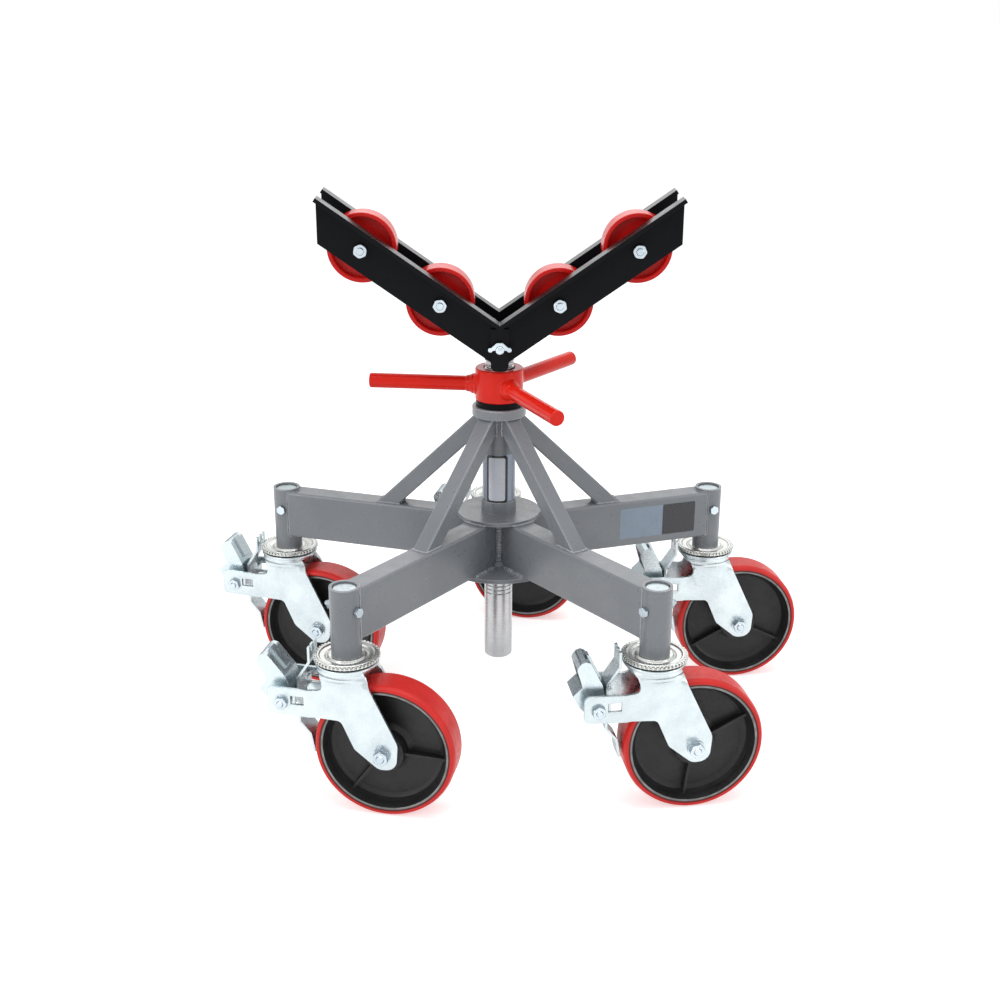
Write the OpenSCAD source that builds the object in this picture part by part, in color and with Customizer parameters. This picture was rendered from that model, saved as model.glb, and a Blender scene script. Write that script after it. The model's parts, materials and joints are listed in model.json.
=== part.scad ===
// Pipe jack stand: five braked casters carry a welded frame, and a coarse screw lifts a V head with four rollers.
// All lengths are millimetres. The stand axis is Z, the floor is Z zero and the V opens along Y.
// Each caster is drawn on its own swivel axis, with X towards its wheel, and is then turned and moved to its leg.

/* [Output] */
// Sub-part to build, or all for the whole stand

/* [Frame] */
// Distance from the stand axis to each caster's swivel axis
leg_reach = 358; // [250:1:450]
// Number of legs
leg_count = 5; // [3:1:6]
// Direction of the first leg, counted from X
first_leg_angle = 18; // [0:1:90]
// Thickness of both hub plates
plate_thickness = 6; // [3:1:12]
// Radius of the lower hub plate
lower_plate_radius = 90; // [60:1:120]
// Radius of the upper hub plate
upper_plate_radius = 63.5; // [50:0.5:90]
// Height of the beams' underside above the floor
beam_base = 255; // [200:1:300]
// Height of a leg beam
beam_height = 75; // [50:1:100]
// Half of a leg beam's width
beam_half_width = 19; // [12:0.5:30]
// Wall of a leg beam
beam_wall = 3; // [2:0.5:5]
// Outside corner radius of a leg beam
beam_corner = 4; // [2:0.5:8]
// Half of a brace tube's side
brace_half = 12.7; // [8:0.1:20]
// Wall of a brace tube
brace_wall = 2.5; // [1.5:0.5:4]
// Outside corner radius of a brace tube
brace_corner = 2.5; // [1.5:0.1:4]
// Distance from the stand axis to the middle of a brace's foot
brace_foot_reach = 178; // [120:1:250]
// Slope of a brace above the level
brace_slope = 44.4; // [30:0.1:60]

/* [Column] */
// Outside radius of the centre tube
tube_radius = 24.5; // [20:0.1:40]
// Height of the centre tube's top, where the collar sits
tube_top = 488; // [400:1:560]
// Outside radius of the ring around the tube's foot
foot_ring_radius = 26.7; // [25:0.1:45]
// Height of the ring around the tube's foot
foot_ring_height = 19; // [8:1:40]
// Radius of the collar at the tube's top
collar_radius = 40.4; // [30:0.1:60]
// Height of the collar
collar_height = 15; // [8:1:30]
// Edge chamfer of the collar
collar_chamfer = 1.2; // [0.5:0.1:3]

/* [Thrust bearing and handle] */
// Outside radius of the bearing's cover
bearing_radius = 35; // [28:0.5:50]
// Height of the whole thrust bearing
bearing_height = 9.5; // [6:0.5:20]
// Radius of the fixed race
seat_radius = 32.6; // [26:0.1:45]
// Height of the fixed race
seat_height = 3.2; // [2:0.1:8]
// Height of the moving race
cap_height = 3; // [2:0.1:8]
// Height of the cover's skirt below the moving race
skirt_drop = 5.7; // [3:0.1:10]
// Wall of the cover's skirt
skirt_wall = 1.6; // [1:0.1:3]
// Radius of one ball
ball_radius = 3; // [2:0.1:5]
// Radius of the ball circle
ball_circle = 27.6; // [20:0.1:40]
// Number of balls
ball_count = 16; // [8:1:24]
// Depth of the ball groove in the fixed race
groove_depth = 1.4; // [0.5:0.1:2]
// Radius of the handle nut
nut_radius = 35.8; // [28:0.1:50]
// Height of the handle nut
nut_height = 48.5; // [30:0.5:80]
// Edge chamfer of the handle nut
nut_chamfer = 2.6; // [1:0.1:5]
// Height of the bars' axis above the nut's underside
bar_level = 22; // [15:0.5:40]
// Radius of a handle bar
bar_radius = 11.2; // [7:0.1:16]
// Distance from the stand axis to a bar's tip
bar_reach = 195; // [120:1:260]
// Distance from the stand axis to a bar's inner end
bar_root = 38.5; // [30:0.5:50]
// Number of handle bars
bar_count = 3; // [2:1:4]
// Direction of the first bar, counted from X
first_bar_angle = 53.5; // [0:0.5:120]
// Edge rounding at a bar's tip
bar_rounding = 1.8; // [0.5:0.1:4]
// Radius of the boss that holds a bar
boss_radius = 16; // [12:0.5:20]
// Distance from the stand axis to the shoulder of a boss
boss_shoulder = 44; // [40:0.5:60]
// Distance from the stand axis to the end of a boss
boss_reach = 50; // [42:0.5:70]
// Radius of a boss at its end
boss_end_radius = 12.8; // [10:0.1:18]

/* [Screw] */
// Radius of the lift screw over its thread
screw_radius = 22; // [15:0.5:35]
// Radius of the plain shank below the thread
shank_radius = 21.7; // [14:0.1:35]
// Height at which the thread begins: its end stops the nut after 276 mm of lift
shank_top = 236; // [120:1:240]
// Height of the screw's foot above the floor
screw_base = 92; // [40:1:200]
// Height of the shoulder under the head
shoulder_level = 573.7; // [500:0.1:640]
// Radius of the spigot on which the head turns
spigot_radius = 17; // [10:0.5:25]
// Height of the spigot's top
spigot_top = 607; // [570:1:660]
// Chamfer at both ends of the screw
screw_chamfer = 2; // [0.5:0.1:4]

/* [Head] */
// Slope of both arms of the V above the level
vee_angle = 35; // [25:1:45]
// Height of the V's upper surface on the stand axis
vee_level = 635.7; // [600:0.1:700]
// Distance from the stand axis to the tip of an arm's upper surface
vee_reach = 256; // [180:1:320]
// Distance from the stand axis to the plumb end of a web
web_reach = 257.5; // [180:0.5:320]
// Depth of a rail's web, square to the arm
web_depth = 55; // [35:1:80]
// Distance from the head's middle plane to a web's inner face
web_inner = 34; // [25:1:50]
// Thickness of a rail's web and flange
rail_thickness = 6; // [3:0.5:10]
// Width of a rail's flange, over the web
flange_width = 25.5; // [18:0.5:40]
// Outside radius of the head's socket tube
head_tube_radius = 21.2; // [18:0.1:30]
// Height of the socket tube's lower end
head_tube_base = 574; // [540:1:640]
// Height of the saddle plate's underside
saddle_level = 608; // [580:1:660]
// Half of the saddle plate's length along the V
saddle_half_length = 44; // [30:1:70]
// Half of the strap's width
strap_half_width = 13; // [8:0.5:20]
// Height of the strap's lower end
strap_base = 565.5; // [560:0.5:620]
// Height of the strap's upper end
strap_top = 628; // [600:1:680]
// Radius of the strap's two lower corners
strap_corner = 8; // [2:0.5:12]

/* [Rollers] */
// Radius of a roller
roller_radius = 50; // [30:1:70]
// Half of a roller's width
roller_half_width = 20; // [12:1:30]
// Thickness of a roller's rim
roller_rim = 6.5; // [4:0.5:12]
// Half of the thickness of a roller's web
roller_web_half = 8.5; // [4:0.5:16]
// Radius of a roller's hub
roller_hub_radius = 14; // [10:0.5:24]
// Edge rounding of a roller
roller_rounding = 1.5; // [0.5:0.1:4]
// Distances from the stand axis to the inner and outer roller axles
roller_reaches = [85.8, 197];
// Depth of the roller axles below the V's upper surface, measured plumb
roller_drop = 33.9; // [25:0.1:60]
// Radius of a roller bolt
roller_bolt_radius = 6; // [4:0.5:8]
// Radius of a roller bolt's nut over its corners
roller_nut_radius = 10.4; // [7:0.1:14]
// Height of a roller bolt's nut
roller_nut_height = 9.6; // [6:0.1:14]
// Height of a roller bolt's head
roller_head_height = 7.5; // [5:0.1:12]
// Length of bolt that shows past its nut
roller_bolt_end = 1.9; // [0.5:0.1:5]
// Outside radius of a roller's spacer sleeve
spacer_radius = 9.5; // [7:0.5:14]

/* [Wing screw] */
// Height of the wing screw's axis
wing_level = 599; // [575:1:640]
// Radius of the wing screw's shank
wing_shank_radius = 4; // [3:0.5:6]
// Distance from the stand axis to the wing screw's tip
wing_tip = 18.4; // [17:0.1:30]
// Radius of the wing screw's hub
wing_hub_radius = 6.8; // [5:0.1:10]
// Radius of the wing screw's hub at its outer end
wing_hub_end_radius = 5.6; // [4:0.1:8]
// Length of the wing screw's hub
wing_hub_length = 12; // [8:0.5:18]
// Distance from the strap to the wings' rear face
wing_stand_off = 3.2; // [1:0.1:6]
// Thickness of the wings
wing_thickness = 5.4; // [2:0.1:8]
// Outline of the right wing from the front: distance to the side, height over the axis, and corner radius
wing_outline = [[0, -3.6, 0], [6, -3.6, 2], [10.5, -2.9, 4], [17, -3.1, 3.1], [17, 3.6, 3.1], [12, 3.6, 4],
    [4.4, 10.4, 3.4], [0, 10.4, 0]];

/* [Caster sockets and stems] */
// Outside radius of a caster socket
socket_radius = 21.1; // [16:0.1:30]
// Height of a socket's lower end
socket_base = 234; // [180:1:280]
// Height of a socket's upper end
socket_top = 334; // [280:1:380]
// Inside radius of a socket
socket_bore_radius = 17.1; // [10:0.1:25]
// Radius of a caster stem
stem_radius = 16.9; // [10:0.1:25]
// Depth of a stem's top below the socket's rim
stem_recess = 2.5; // [0:0.5:10]
// Edge chamfer of a stem's top
stem_chamfer = 1.5; // [0.5:0.1:4]
// Height of the socket bolts' axis
socket_bolt_level = 301; // [260:1:330]
// Radius of a socket bolt
socket_bolt_radius = 4; // [3:0.5:6]
// Radius of a socket bolt's head and nut over the corners
socket_nut_radius = 7.5; // [5:0.1:10]
// Height of a socket bolt's head
socket_head_height = 5.3; // [3:0.1:8]
// Height of a socket bolt's nut
socket_nut_height = 6.5; // [4:0.1:10]
// Length of a socket bolt that shows past its nut
socket_bolt_end = 2.5; // [0.5:0.5:6]
// Side on which each socket bolt has its head, one value for each leg
socket_head_sides = [-1, 1, 1, 1, -1];

/* [Swivel] */
// Radius of the toothed brake ring over its teeth
tooth_radius = 46; // [36:0.5:60]
// Radius at the foot of the ring's teeth
tooth_root_radius = 43; // [34:0.5:58]
// Inside radius of the toothed band
tooth_band_radius = 40.6; // [30:0.1:56]
// Number of teeth on the ring
tooth_count = 48; // [16:1:60]
// Share of a tooth pitch that the tip takes
tooth_tip_share = 0.42; // [0.2:0.01:0.6]
// Share of a tooth pitch that the root takes
tooth_root_share = 0.42; // [0.2:0.01:0.6]
// Height of the toothed band's lower edge
tooth_base = 229.9; // [180:0.1:280]
// Height of the toothed band's upper edge
tooth_top = 234; // [185:0.1:285]
// Radius of the plain lip under the teeth
lip_radius = 45.2; // [36:0.1:59]
// Height of the lip's upper edge
lip_top = 231.1; // [181:0.1:281]
// Profile of the ring inside its teeth: radius, height and corner radius
ring_profile = [[11.3, 229, 0], [42.2, 229, 0.4], [42.2, 235, 1.6], [38.6, 235, 1.4], [37, 232.9, 1],
    [31, 232.6, 1.5], [27.6, 231, 1], [25, 234, 0.6], [11.3, 234, 0]];
// Radius of the kingpin below the ring
kingpin_radius = 11; // [6:0.5:16]
// Radius of the kingpin's riveted foot
kingpin_foot_radius = 17; // [9:0.5:24]
// Height of the kingpin's lowest point
kingpin_base = 203.8; // [150:0.1:240]
// Height of the top of the kingpin's riveted foot
kingpin_foot_top = 207.6; // [155:0.1:245]
// Profile of the fork's crown: radius, height and corner radius
crown_profile = [[0, 208, 0], [34, 208, 2], [35.4, 213, 2], [41, 218.6, 1.4], [41.4, 221.4, 0.8],
    [44.4, 223, 0.8], [44.4, 226.5, 1], [39.4, 226.5, 1], [37.4, 222.5, 1.5], [33, 213, 2], [0, 213, 0]];

/* [Fork] */
// Directions in which the wheels trail, counted from X, one for each leg
trail_angles = [5.9, -12, -14.4, -12.1, 7.7];
// Distance from the middle plane to a fork arm's inner face
arm_inner = 30; // [20:0.5:40]
// Thickness of a fork arm
arm_thickness = 4.5; // [3:0.5:8]
// Outline of a fork arm: distance from the swivel axis, height and corner radius
arm_outline = [[29, 222, 1], [78.6, 118, 20], [76, 79.5, 16], [51, 78, 16], [17, 106, 14], [-1, 147.5, 9],
    [-104, 152, 7], [-104, 192, 8], [-27, 190, 7], [-31, 222, 1]];
// Distance from the swivel axis to the wheel's axle
trail = 56; // [20:1:90]
// Distance from the swivel axis to the pedal's pin
pedal_reach = 84; // [50:1:120]
// Height of the pedal's pin
pedal_level = 169; // [120:1:220]
// Near and far ends of the brake leaf's slot, as distances from the swivel axis
slot_ends = [52, 71];
// Lower and upper edges of the brake leaf's slot
slot_edges = [167, 180];
// Radius of an axle bolt
axle_radius = 6; // [4:0.5:10]
// Radius of an axle nut over its corners
axle_nut_radius = 10.9; // [7:0.1:16]
// Radius of the washer under an axle nut
axle_washer_radius = 12; // [8:0.5:18]
// Thickness of the washer under an axle nut
axle_washer = 2; // [1:0.5:4]
// Height of an axle nut and of an axle bolt's head
axle_nut_height = 7.6; // [5:0.1:12]
// Length of a bolt that shows past its nut
axle_end = 2.2; // [0.5:0.1:6]
// Radius of the pedal's pin
pedal_pin_radius = 5; // [3:0.5:8]
// Radius of the pedal pin's nut over its corners
pedal_nut_radius = 9.6; // [6:0.1:14]
// Height of the pedal pin's nut and head
pedal_nut_height = 6; // [4:0.1:10]

/* [Wheel] */
// Radius of a wheel over its tread
wheel_radius = 100; // [60:1:130]
// Half of a wheel's width
wheel_half_width = 25; // [15:1:35]
// Inside radius of the tread
tread_inner_radius = 91; // [50:0.5:120]
// Rounding of the tread's shoulders
tread_rounding = 8; // [2:0.5:14]
// Half of the width of the core's rim
core_half_width = 24.2; // [14:0.1:34]
// Profile of one side of the wheel core, from hub to rim: radius and distance from the middle plane
core_profile = [[24, 29.6], [24, 27.8], [28.5, 27.4], [29.5, 8], [34, 5.5], [76, 4.6], [80.5, 7], [83.5, 13], [88, 24.2]];
// Number of ribs on each side of the core
rib_count = 3; // [3:1:8]
// Direction of the first rib on each wheel
rib_angles = [40, 100, 15, -6, 25];
// Half of a rib's thickness
rib_half = 3; // [2:0.5:8]
// Height of a rib above the core's middle plane at its hub and rim ends
rib_heights = [19, 15];
// Radii between which a rib runs
rib_radii = [28, 84];

/* [Brake] */
// Half of the width of a pedal
pedal_half_width = 22; // [14:0.5:28]
// Thickness of a pedal's sheet
pedal_sheet = 3; // [2:0.5:5]
// Side view of a pedal about its pin: distance, height and corner radius
pedal_outline = [[-15, 77, 9], [8, 31, 6], [12, 9, 4], [12, -10, 9], [-12, -13, 9], [-24, 0, 5],
    [-33, 17, 1.2], [-20, 30, 2], [-28, 57, 6]];
// Side view of the space between a pedal's cheeks, about its pin
pedal_hollow = [[-15.3, 71, 6], [5, 30.4, 3], [9.2, 9, 0], [9.2, -40, 0], [-60, -40, 0], [-60, 66, 0],
    [-42, 66, 0], [-25.5, 55.4, 0]];
// Side view of the release tab, about the pedal's pin
tab_outline = [[-20, 30], [-33, 17], [-30.9, 14.9], [-17.9, 27.9]];
// Side view of the rib along the pedal's tread plate, about the pedal's pin
rib_outline = [[-12.3, 70, 0], [5, 36, 0], [7.9, 37.5, 2], [-9.4, 71.5, 2]];
// Half of the rib's width
rib_width_half = 7; // [4:0.5:12]
// Radius of the barrel that turns on the pedal's pin
barrel_radius = 9.4; // [6:0.1:12]
// Half of the cam's width
cam_half_width = 14; // [8:0.5:18]
// Side view of the cam that pushes the leaf, about the pedal's pin
cam_outline = [[0, 9, 0], [9.4, 2, 2], [13.4, -9, 1.2], [12.4, -11.6, 1.2], [0, -9, 0]];
// How far each pedal is pressed down in the rest pose, one for each leg
pedal_presses = [0, 0, 0, 12, 0];
// Distance that a full press of a pedal moves its leaf
leaf_travel = 3; // [1:0.5:6]
// Angle of a full press of a pedal
full_press = 24; // [10:1:40]
// Half of the width of a brake leaf
leaf_half_width = 16; // [8:0.5:20]
// Thickness of a brake leaf
leaf_thickness = 3.5; // [2:0.5:5]
// Side view of a leaf's outer face, from its top: distance from the swivel axis and height
leaf_path = [[-52.9, 245], [-52.9, 223], [-69.9, 197], [-69.9, 129], [-54.8, 111], [-49.8, 84]];
// Half of the width of the middle tooth on a leaf's top
leaf_tooth_half = 3.6; // [2:0.1:6]
// Width of the notch on each side of the middle tooth
leaf_notch_width = 6; // [3:0.1:9]
// Depth of both notches
leaf_notch_depth = 9; // [3:0.5:16]
// Lower and upper edges of a leaf's ears
ear_edges = [167.35, 179.65];
// Length by which an ear shows past its fork arm
ear_overhang = 0.6; // [0:0.1:3]

/* [Fits] */
// Gap between welded pieces
weld_gap = 0.2; // [0.1:0.05:0.5]
// Gap around a screw or sleeve that slides
slide_gap = 0.45; // [0.2:0.05:1]
// Radial gap of a running fit
running_gap = 0.05; // [0.02:0.01:0.1]
// Radial gap around a bolt in a plain hole
bolt_gap = 0.25; // [0.1:0.05:0.5]
// Gap between two faces that turn past each other
face_gap = 0.4; // [0.2:0.05:1]
// Length by which a cut runs past a face
cut_over = 1; // [0.5:0.5:5]

/* [Hidden] */
$fn = 96;
hex_sides = 6;
corner_steps = 4;
half_share = 0.5;
quarter_turn = 90;
half_turn = 180;
full_turn = 360;
leg_step = full_turn / leg_count;
leg_angles = [for (k = [0 : leg_count - 1]) first_leg_angle + k * leg_step];
bar_angles = [for (k = [0 : bar_count - 1]) first_bar_angle + k * full_turn / bar_count];
beam_top = beam_base + beam_height;
beam_inner_x = tube_radius + weld_gap;
beam_wedge_tan = tan(leg_step * half_share);
collar_top = tube_top + collar_height;
bearing_top = collar_top + bearing_height;
bore_radius = screw_radius + slide_gap;
nut_base = bearing_top;
nut_top = nut_base + nut_height;
bar_z = nut_base + bar_level;
vee_tan = tan(vee_angle);
flange_drop = rail_thickness / cos(vee_angle);
web_drop = web_depth / cos(vee_angle);
web_outer = web_inner + rail_thickness;
saddle_top = saddle_level + rail_thickness;
strap_outer = web_outer + rail_thickness;
head_bore_radius = spigot_radius + running_gap;
roller_centres = [for (side = [-1, 1], reach = roller_reaches)
    [side * reach, vee_level + reach * vee_tan - roller_drop]];
arm_outer = arm_inner + arm_thickness;
tooth_pitch = full_turn / tooth_count;
leaf_shifts = [for (press = pedal_presses) leaf_travel * press / full_press];
// Order of the casters in every list above
RIGHT = 0;
REAR = 1;
LEFT = 2;
FRONT_LEFT = 3;
FRONT_RIGHT = 4;

// ---- Helpers ----

function unit_of(v) = v / norm(v);

// The points that replace one corner [x, y, radius] of an outline
function corner(before, at, after) =
    let (here = [at[0], at[1]],
         a = unit_of([before[0], before[1]] - here),
         b = unit_of([after[0], after[1]] - here),
         half_angle = acos(a * b) * half_share,
         centre = here + unit_of(a + b) * at[2] / sin(half_angle),
         from = here + a * at[2] / tan(half_angle) - centre,
         to = here + b * at[2] / tan(half_angle) - centre)
    at[2] == 0 ? [here] :
    [for (k = [0 : corner_steps]) centre + at[2] * unit_of(from * (corner_steps - k) + to * k)];

// An outline whose corners are rounded by the radius that each of them carries
function rounded(points) =
    let (count = len(points))
    [for (k = [0 : count - 1]) each corner(points[(k + count - 1) % count], points[k], points[(k + 1) % count])];

// A rectangle about the middle, with rounded corners
function rounded_box(half_x, half_y, radius) =
    rounded([[half_x, half_y, radius], [-half_x, half_y, radius], [-half_x, -half_y, radius], [half_x, -half_y, radius]]);

// The sideways direction of a path at one of its points, long enough to keep the sheet's thickness in a bend
function mitre(path, k) =
    let (last = len(path) - 1,
         into = unit_of(path[min(k + 1, last)] - path[min(k, last - 1)]),
         from = unit_of(path[max(k, 1)] - path[max(k - 1, 0)]),
         side = unit_of([-into[1] - from[1], into[0] + from[0]]))
    side / (side * [-into[1], into[0]]);

// A sheet of even thickness that follows a path
function ribbon(path, thickness) =
    concat(path, [for (k = [len(path) - 1 : -1 : 0]) path[k] + thickness * mitre(path, k)]);

// A side view stood upright in the XZ plane, from one distance to another along minus Y
module upright(points, near, far) {
    translate([0, -near, 0])
        rotate([quarter_turn, 0, 0])
            linear_extrude(far - near)
                polygon(points);
}

// The same, to both sides of the middle plane
module upright_pair(points, near, far) {
    upright(points, near, far);
    upright(points, -far, -near);
}

// A cylinder along Y through the point [x, z], between two distances along minus Y
module cross_rod(place, radius, near, far, sides = $fn) {
    translate([place[0], -near, place[1]])
        rotate([quarter_turn, 0, 0])
            cylinder(r = radius, h = far - near, $fn = sides);
}

// A plain or hexagonal ring around an axis along Y
module cross_ring(place, radius, bore, near, far, sides = $fn) {
    difference() {
        cross_rod(place, radius, near, far, sides);
        cross_rod(place, bore, near - cut_over, far + cut_over);
    }
}

// A standing tube or disc with a bore
module upright_ring(radius, bore, base, top) {
    difference() {
        translate([0, 0, base])
            cylinder(r = radius, h = top - base);
        translate([0, 0, base - cut_over])
            cylinder(r = bore, h = top - base + cut_over + cut_over);
    }
}

module on_legs() {
    for (angle = leg_angles)
        rotate([0, 0, angle])
            children();
}

module at_socket(k) {
    rotate([0, 0, leg_angles[k]])
        translate([leg_reach, 0, 0])
            children();
}

// A caster's own frame, with X towards its wheel
module at_caster(k) {
    translate([leg_reach * cos(leg_angles[k]), leg_reach * sin(leg_angles[k]), 0])
        rotate([0, 0, trail_angles[k]])
            children();
}

// ---- Frame ----

module lower_hub_plate()
    color("DimGray")
        upright_ring(lower_plate_radius, bore_radius, beam_base - plate_thickness, beam_base);

module upper_hub_plate()
    color("DimGray")
        upright_ring(upper_plate_radius, tube_radius + weld_gap, beam_top, beam_top + plate_thickness);

module centre_tube()
    color("Gray")
        upright_ring(tube_radius, bore_radius, beam_base, tube_top);

module tube_foot_ring()
    color("DimGray")
        upright_ring(foot_ring_radius, tube_radius + weld_gap, beam_top + plate_thickness,
            beam_top + plate_thickness + foot_ring_height);

module top_collar()
    color("Gray")
        rotate_extrude()
            polygon([[bore_radius, tube_top], [collar_radius - collar_chamfer, tube_top],
                [collar_radius, tube_top + collar_chamfer], [collar_radius, collar_top - collar_chamfer],
                [collar_radius - collar_chamfer, collar_top], [bore_radius, collar_top]]);

// Plan of one beam: flat against the tube, and trimmed to its fifth of the circle
beam_plan_half = beam_half_width + cut_over;
beam_inner_half = beam_inner_x * beam_wedge_tan - weld_gap;
beam_wedge_x = (beam_plan_half + weld_gap) / beam_wedge_tan;
beam_plan = [[beam_inner_x, -beam_inner_half], [beam_wedge_x, -beam_plan_half], [leg_reach, -beam_plan_half],
    [leg_reach, beam_plan_half], [beam_wedge_x, beam_plan_half], [beam_inner_x, beam_inner_half]];

module leg_beams()
    color("Gray")
        on_legs()
            difference() {
                intersection() {
                    translate([0, 0, beam_base + beam_height * half_share])
                        rotate([quarter_turn, 0, quarter_turn])
                            linear_extrude(leg_reach)
                                difference() {
                                    polygon(rounded_box(beam_half_width, beam_height * half_share, beam_corner));
                                    polygon(rounded_box(beam_half_width - beam_wall,
                                        beam_height * half_share - beam_wall, beam_corner - beam_wall));
                                }
                    translate([0, 0, beam_base - cut_over])
                        linear_extrude(beam_height + cut_over + cut_over)
                            polygon(beam_plan);
                }
                translate([leg_reach, 0, beam_base - cut_over])
                    cylinder(r = socket_radius + weld_gap, h = beam_height + cut_over + cut_over);
            }

// A brace leans in its leg's plane; its foot is cut level and its head plumb and level
module brace_tubes()
    color("Gray")
        on_legs()
            intersection() {
                translate([brace_foot_reach, 0, beam_top])
                    rotate([0, brace_slope - quarter_turn, 0])
                        translate([0, 0, -beam_height])
                            linear_extrude(leg_reach)
                                difference() {
                                    polygon(rounded_box(brace_half, brace_half, brace_corner));
                                    polygon(rounded_box(brace_half - brace_wall, brace_half - brace_wall,
                                        brace_corner * half_share));
                                }
                translate([beam_inner_x, -beam_half_width, beam_top])
                    cube([leg_reach, beam_half_width + beam_half_width, tube_top - beam_top - weld_gap]);
            }

// ---- Caster sockets, stems and brake rings ----

socket_bolt_place = [0, socket_bolt_level];
socket_hole = socket_bolt_radius + bolt_gap;

module caster_sockets()
    color("Gray")
        for (k = [0 : leg_count - 1])
            at_socket(k)
                difference() {
                    upright_ring(socket_radius, socket_bore_radius, socket_base, socket_top);
                    cross_rod(socket_bolt_place, socket_hole, -socket_radius - cut_over, socket_radius + cut_over);
                }

module caster_stems()
    color("Silver")
        for (k = [0 : leg_count - 1])
            at_socket(k)
                difference() {
                    rotate_extrude()
                        polygon([[0, kingpin_base], [kingpin_foot_radius - stem_chamfer, kingpin_base],
                            [kingpin_foot_radius, kingpin_base + stem_chamfer],
                            [kingpin_foot_radius, kingpin_foot_top], [kingpin_radius, kingpin_foot_top],
                            [kingpin_radius, socket_base + weld_gap], [stem_radius, socket_base + weld_gap],
                            [stem_radius, socket_top - stem_recess - stem_chamfer],
                            [stem_radius - stem_chamfer, socket_top - stem_recess], [0, socket_top - stem_recess]]);
                    cross_rod(socket_bolt_place, socket_hole, -socket_radius, socket_radius);
                }

// Head, shank and nut stand across the leg; the nut is a solid of its own
module socket_bolts()
    color("LightSteelBlue")
        for (k = [0 : leg_count - 1])
            at_socket(k)
                scale([1, -socket_head_sides[k], 1]) {
                    cross_rod(socket_bolt_place, socket_bolt_radius, -socket_radius - socket_nut_height - socket_bolt_end,
                        socket_radius + weld_gap + cut_over);
                    cross_rod(socket_bolt_place, socket_nut_radius, socket_radius + weld_gap,
                        socket_radius + weld_gap + socket_head_height, hex_sides);
                    cross_ring(socket_bolt_place, socket_nut_radius, socket_bolt_radius + running_gap,
                        -socket_radius - weld_gap - socket_nut_height, -socket_radius - weld_gap, hex_sides);
                }

function tooth_point(radius, angle) = [radius * cos(angle), radius * sin(angle)];
tooth_tip_half = tooth_pitch * tooth_tip_share * half_share;
tooth_root_half = tooth_pitch * tooth_root_share * half_share;
tooth_outline = [for (k = [0 : tooth_count - 1]) each
    [tooth_point(tooth_root_radius, (k - half_share) * tooth_pitch + tooth_root_half),
     tooth_point(tooth_radius, k * tooth_pitch - tooth_tip_half),
     tooth_point(tooth_radius, k * tooth_pitch + tooth_tip_half),
     tooth_point(tooth_root_radius, (k + half_share) * tooth_pitch - tooth_root_half)]];

module swivel_rings()
    color("Silver")
        for (k = [0 : leg_count - 1])
            at_socket(k)
                union() {
                    translate([0, 0, tooth_base])
                        linear_extrude(tooth_top - tooth_base)
                            difference() {
                                polygon(tooth_outline);
                                circle(r = tooth_band_radius);
                            }
                    upright_ring(lip_radius, tooth_band_radius, tooth_base, lip_top);
                    rotate_extrude()
                        polygon(rounded(ring_profile));
                }

// ---- Thrust bearing and handle ----

seat_top = collar_top + seat_height;
ball_z = seat_top - groove_depth + ball_radius;

module bearing_seat()
    color("DimGray")
        difference() {
            upright_ring(seat_radius, bore_radius, collar_top, seat_top);
            translate([0, 0, ball_z])
                rotate_extrude()
                    translate([ball_circle, 0])
                        circle(r = ball_radius + weld_gap);
        }

module bearing_balls()
    color("Silver")
        for (k = [0 : ball_count - 1])
            rotate([0, 0, k * full_turn / ball_count])
                translate([ball_circle, 0, ball_z])
                    sphere(r = ball_radius);

module bearing_cap()
    color("Black")
        rotate_extrude()
            difference() {
                polygon([[bore_radius, bearing_top - cap_height], [bearing_radius - skirt_wall, bearing_top - cap_height],
                    [bearing_radius - skirt_wall, bearing_top - cap_height - skirt_drop],
                    [bearing_radius, bearing_top - cap_height - skirt_drop], [bearing_radius, bearing_top],
                    [bore_radius, bearing_top]]);
                translate([ball_circle, ball_z])
                    circle(r = ball_radius + face_gap);
            }

nut_profile = [[bore_radius, nut_base], [nut_radius - nut_chamfer, nut_base], [nut_radius, nut_base + nut_chamfer],
    [nut_radius, nut_top - nut_chamfer], [nut_radius - nut_chamfer, nut_top], [bore_radius + nut_chamfer, nut_top],
    [bore_radius, nut_top - nut_chamfer]];

module along_bars() {
    for (angle = bar_angles)
        rotate([0, 0, angle])
            translate([0, 0, bar_z])
                rotate([0, quarter_turn, 0])
                    children();
}

module handle_nut()
    color("Firebrick")
        difference() {
            union() {
                rotate_extrude()
                    polygon(nut_profile);
                along_bars()
                    rotate_extrude()
                        polygon([[0, bore_radius + nut_chamfer], [boss_radius, bore_radius + nut_chamfer],
                            [boss_radius, boss_shoulder], [boss_end_radius, boss_reach], [0, boss_reach]]);
            }
            along_bars()
                translate([0, 0, bar_root - weld_gap])
                    cylinder(r = bar_radius + weld_gap, h = boss_reach);
            translate([0, 0, nut_base - cut_over])
                cylinder(r = bore_radius, h = nut_height + cut_over + cut_over);
        }

module handle_bars()
    color("Firebrick")
        along_bars()
            rotate_extrude()
                polygon(rounded([[0, bar_root, 0], [bar_radius, bar_root, 0],
                    [bar_radius, bar_reach, bar_rounding], [0, bar_reach, 0]]));

// ---- Screw ----

module lift_screw()
    color("LightGray")
        rotate_extrude()
            polygon([[0, screw_base], [shank_radius - screw_chamfer, screw_base],
                [shank_radius, screw_base + screw_chamfer], [shank_radius, shank_top],
                [screw_radius, shank_top], [screw_radius, shoulder_level],
                [spigot_radius, shoulder_level], [spigot_radius, spigot_top - screw_chamfer],
                [spigot_radius - screw_chamfer, spigot_top], [0, spigot_top]]);

// ---- Head ----

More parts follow.
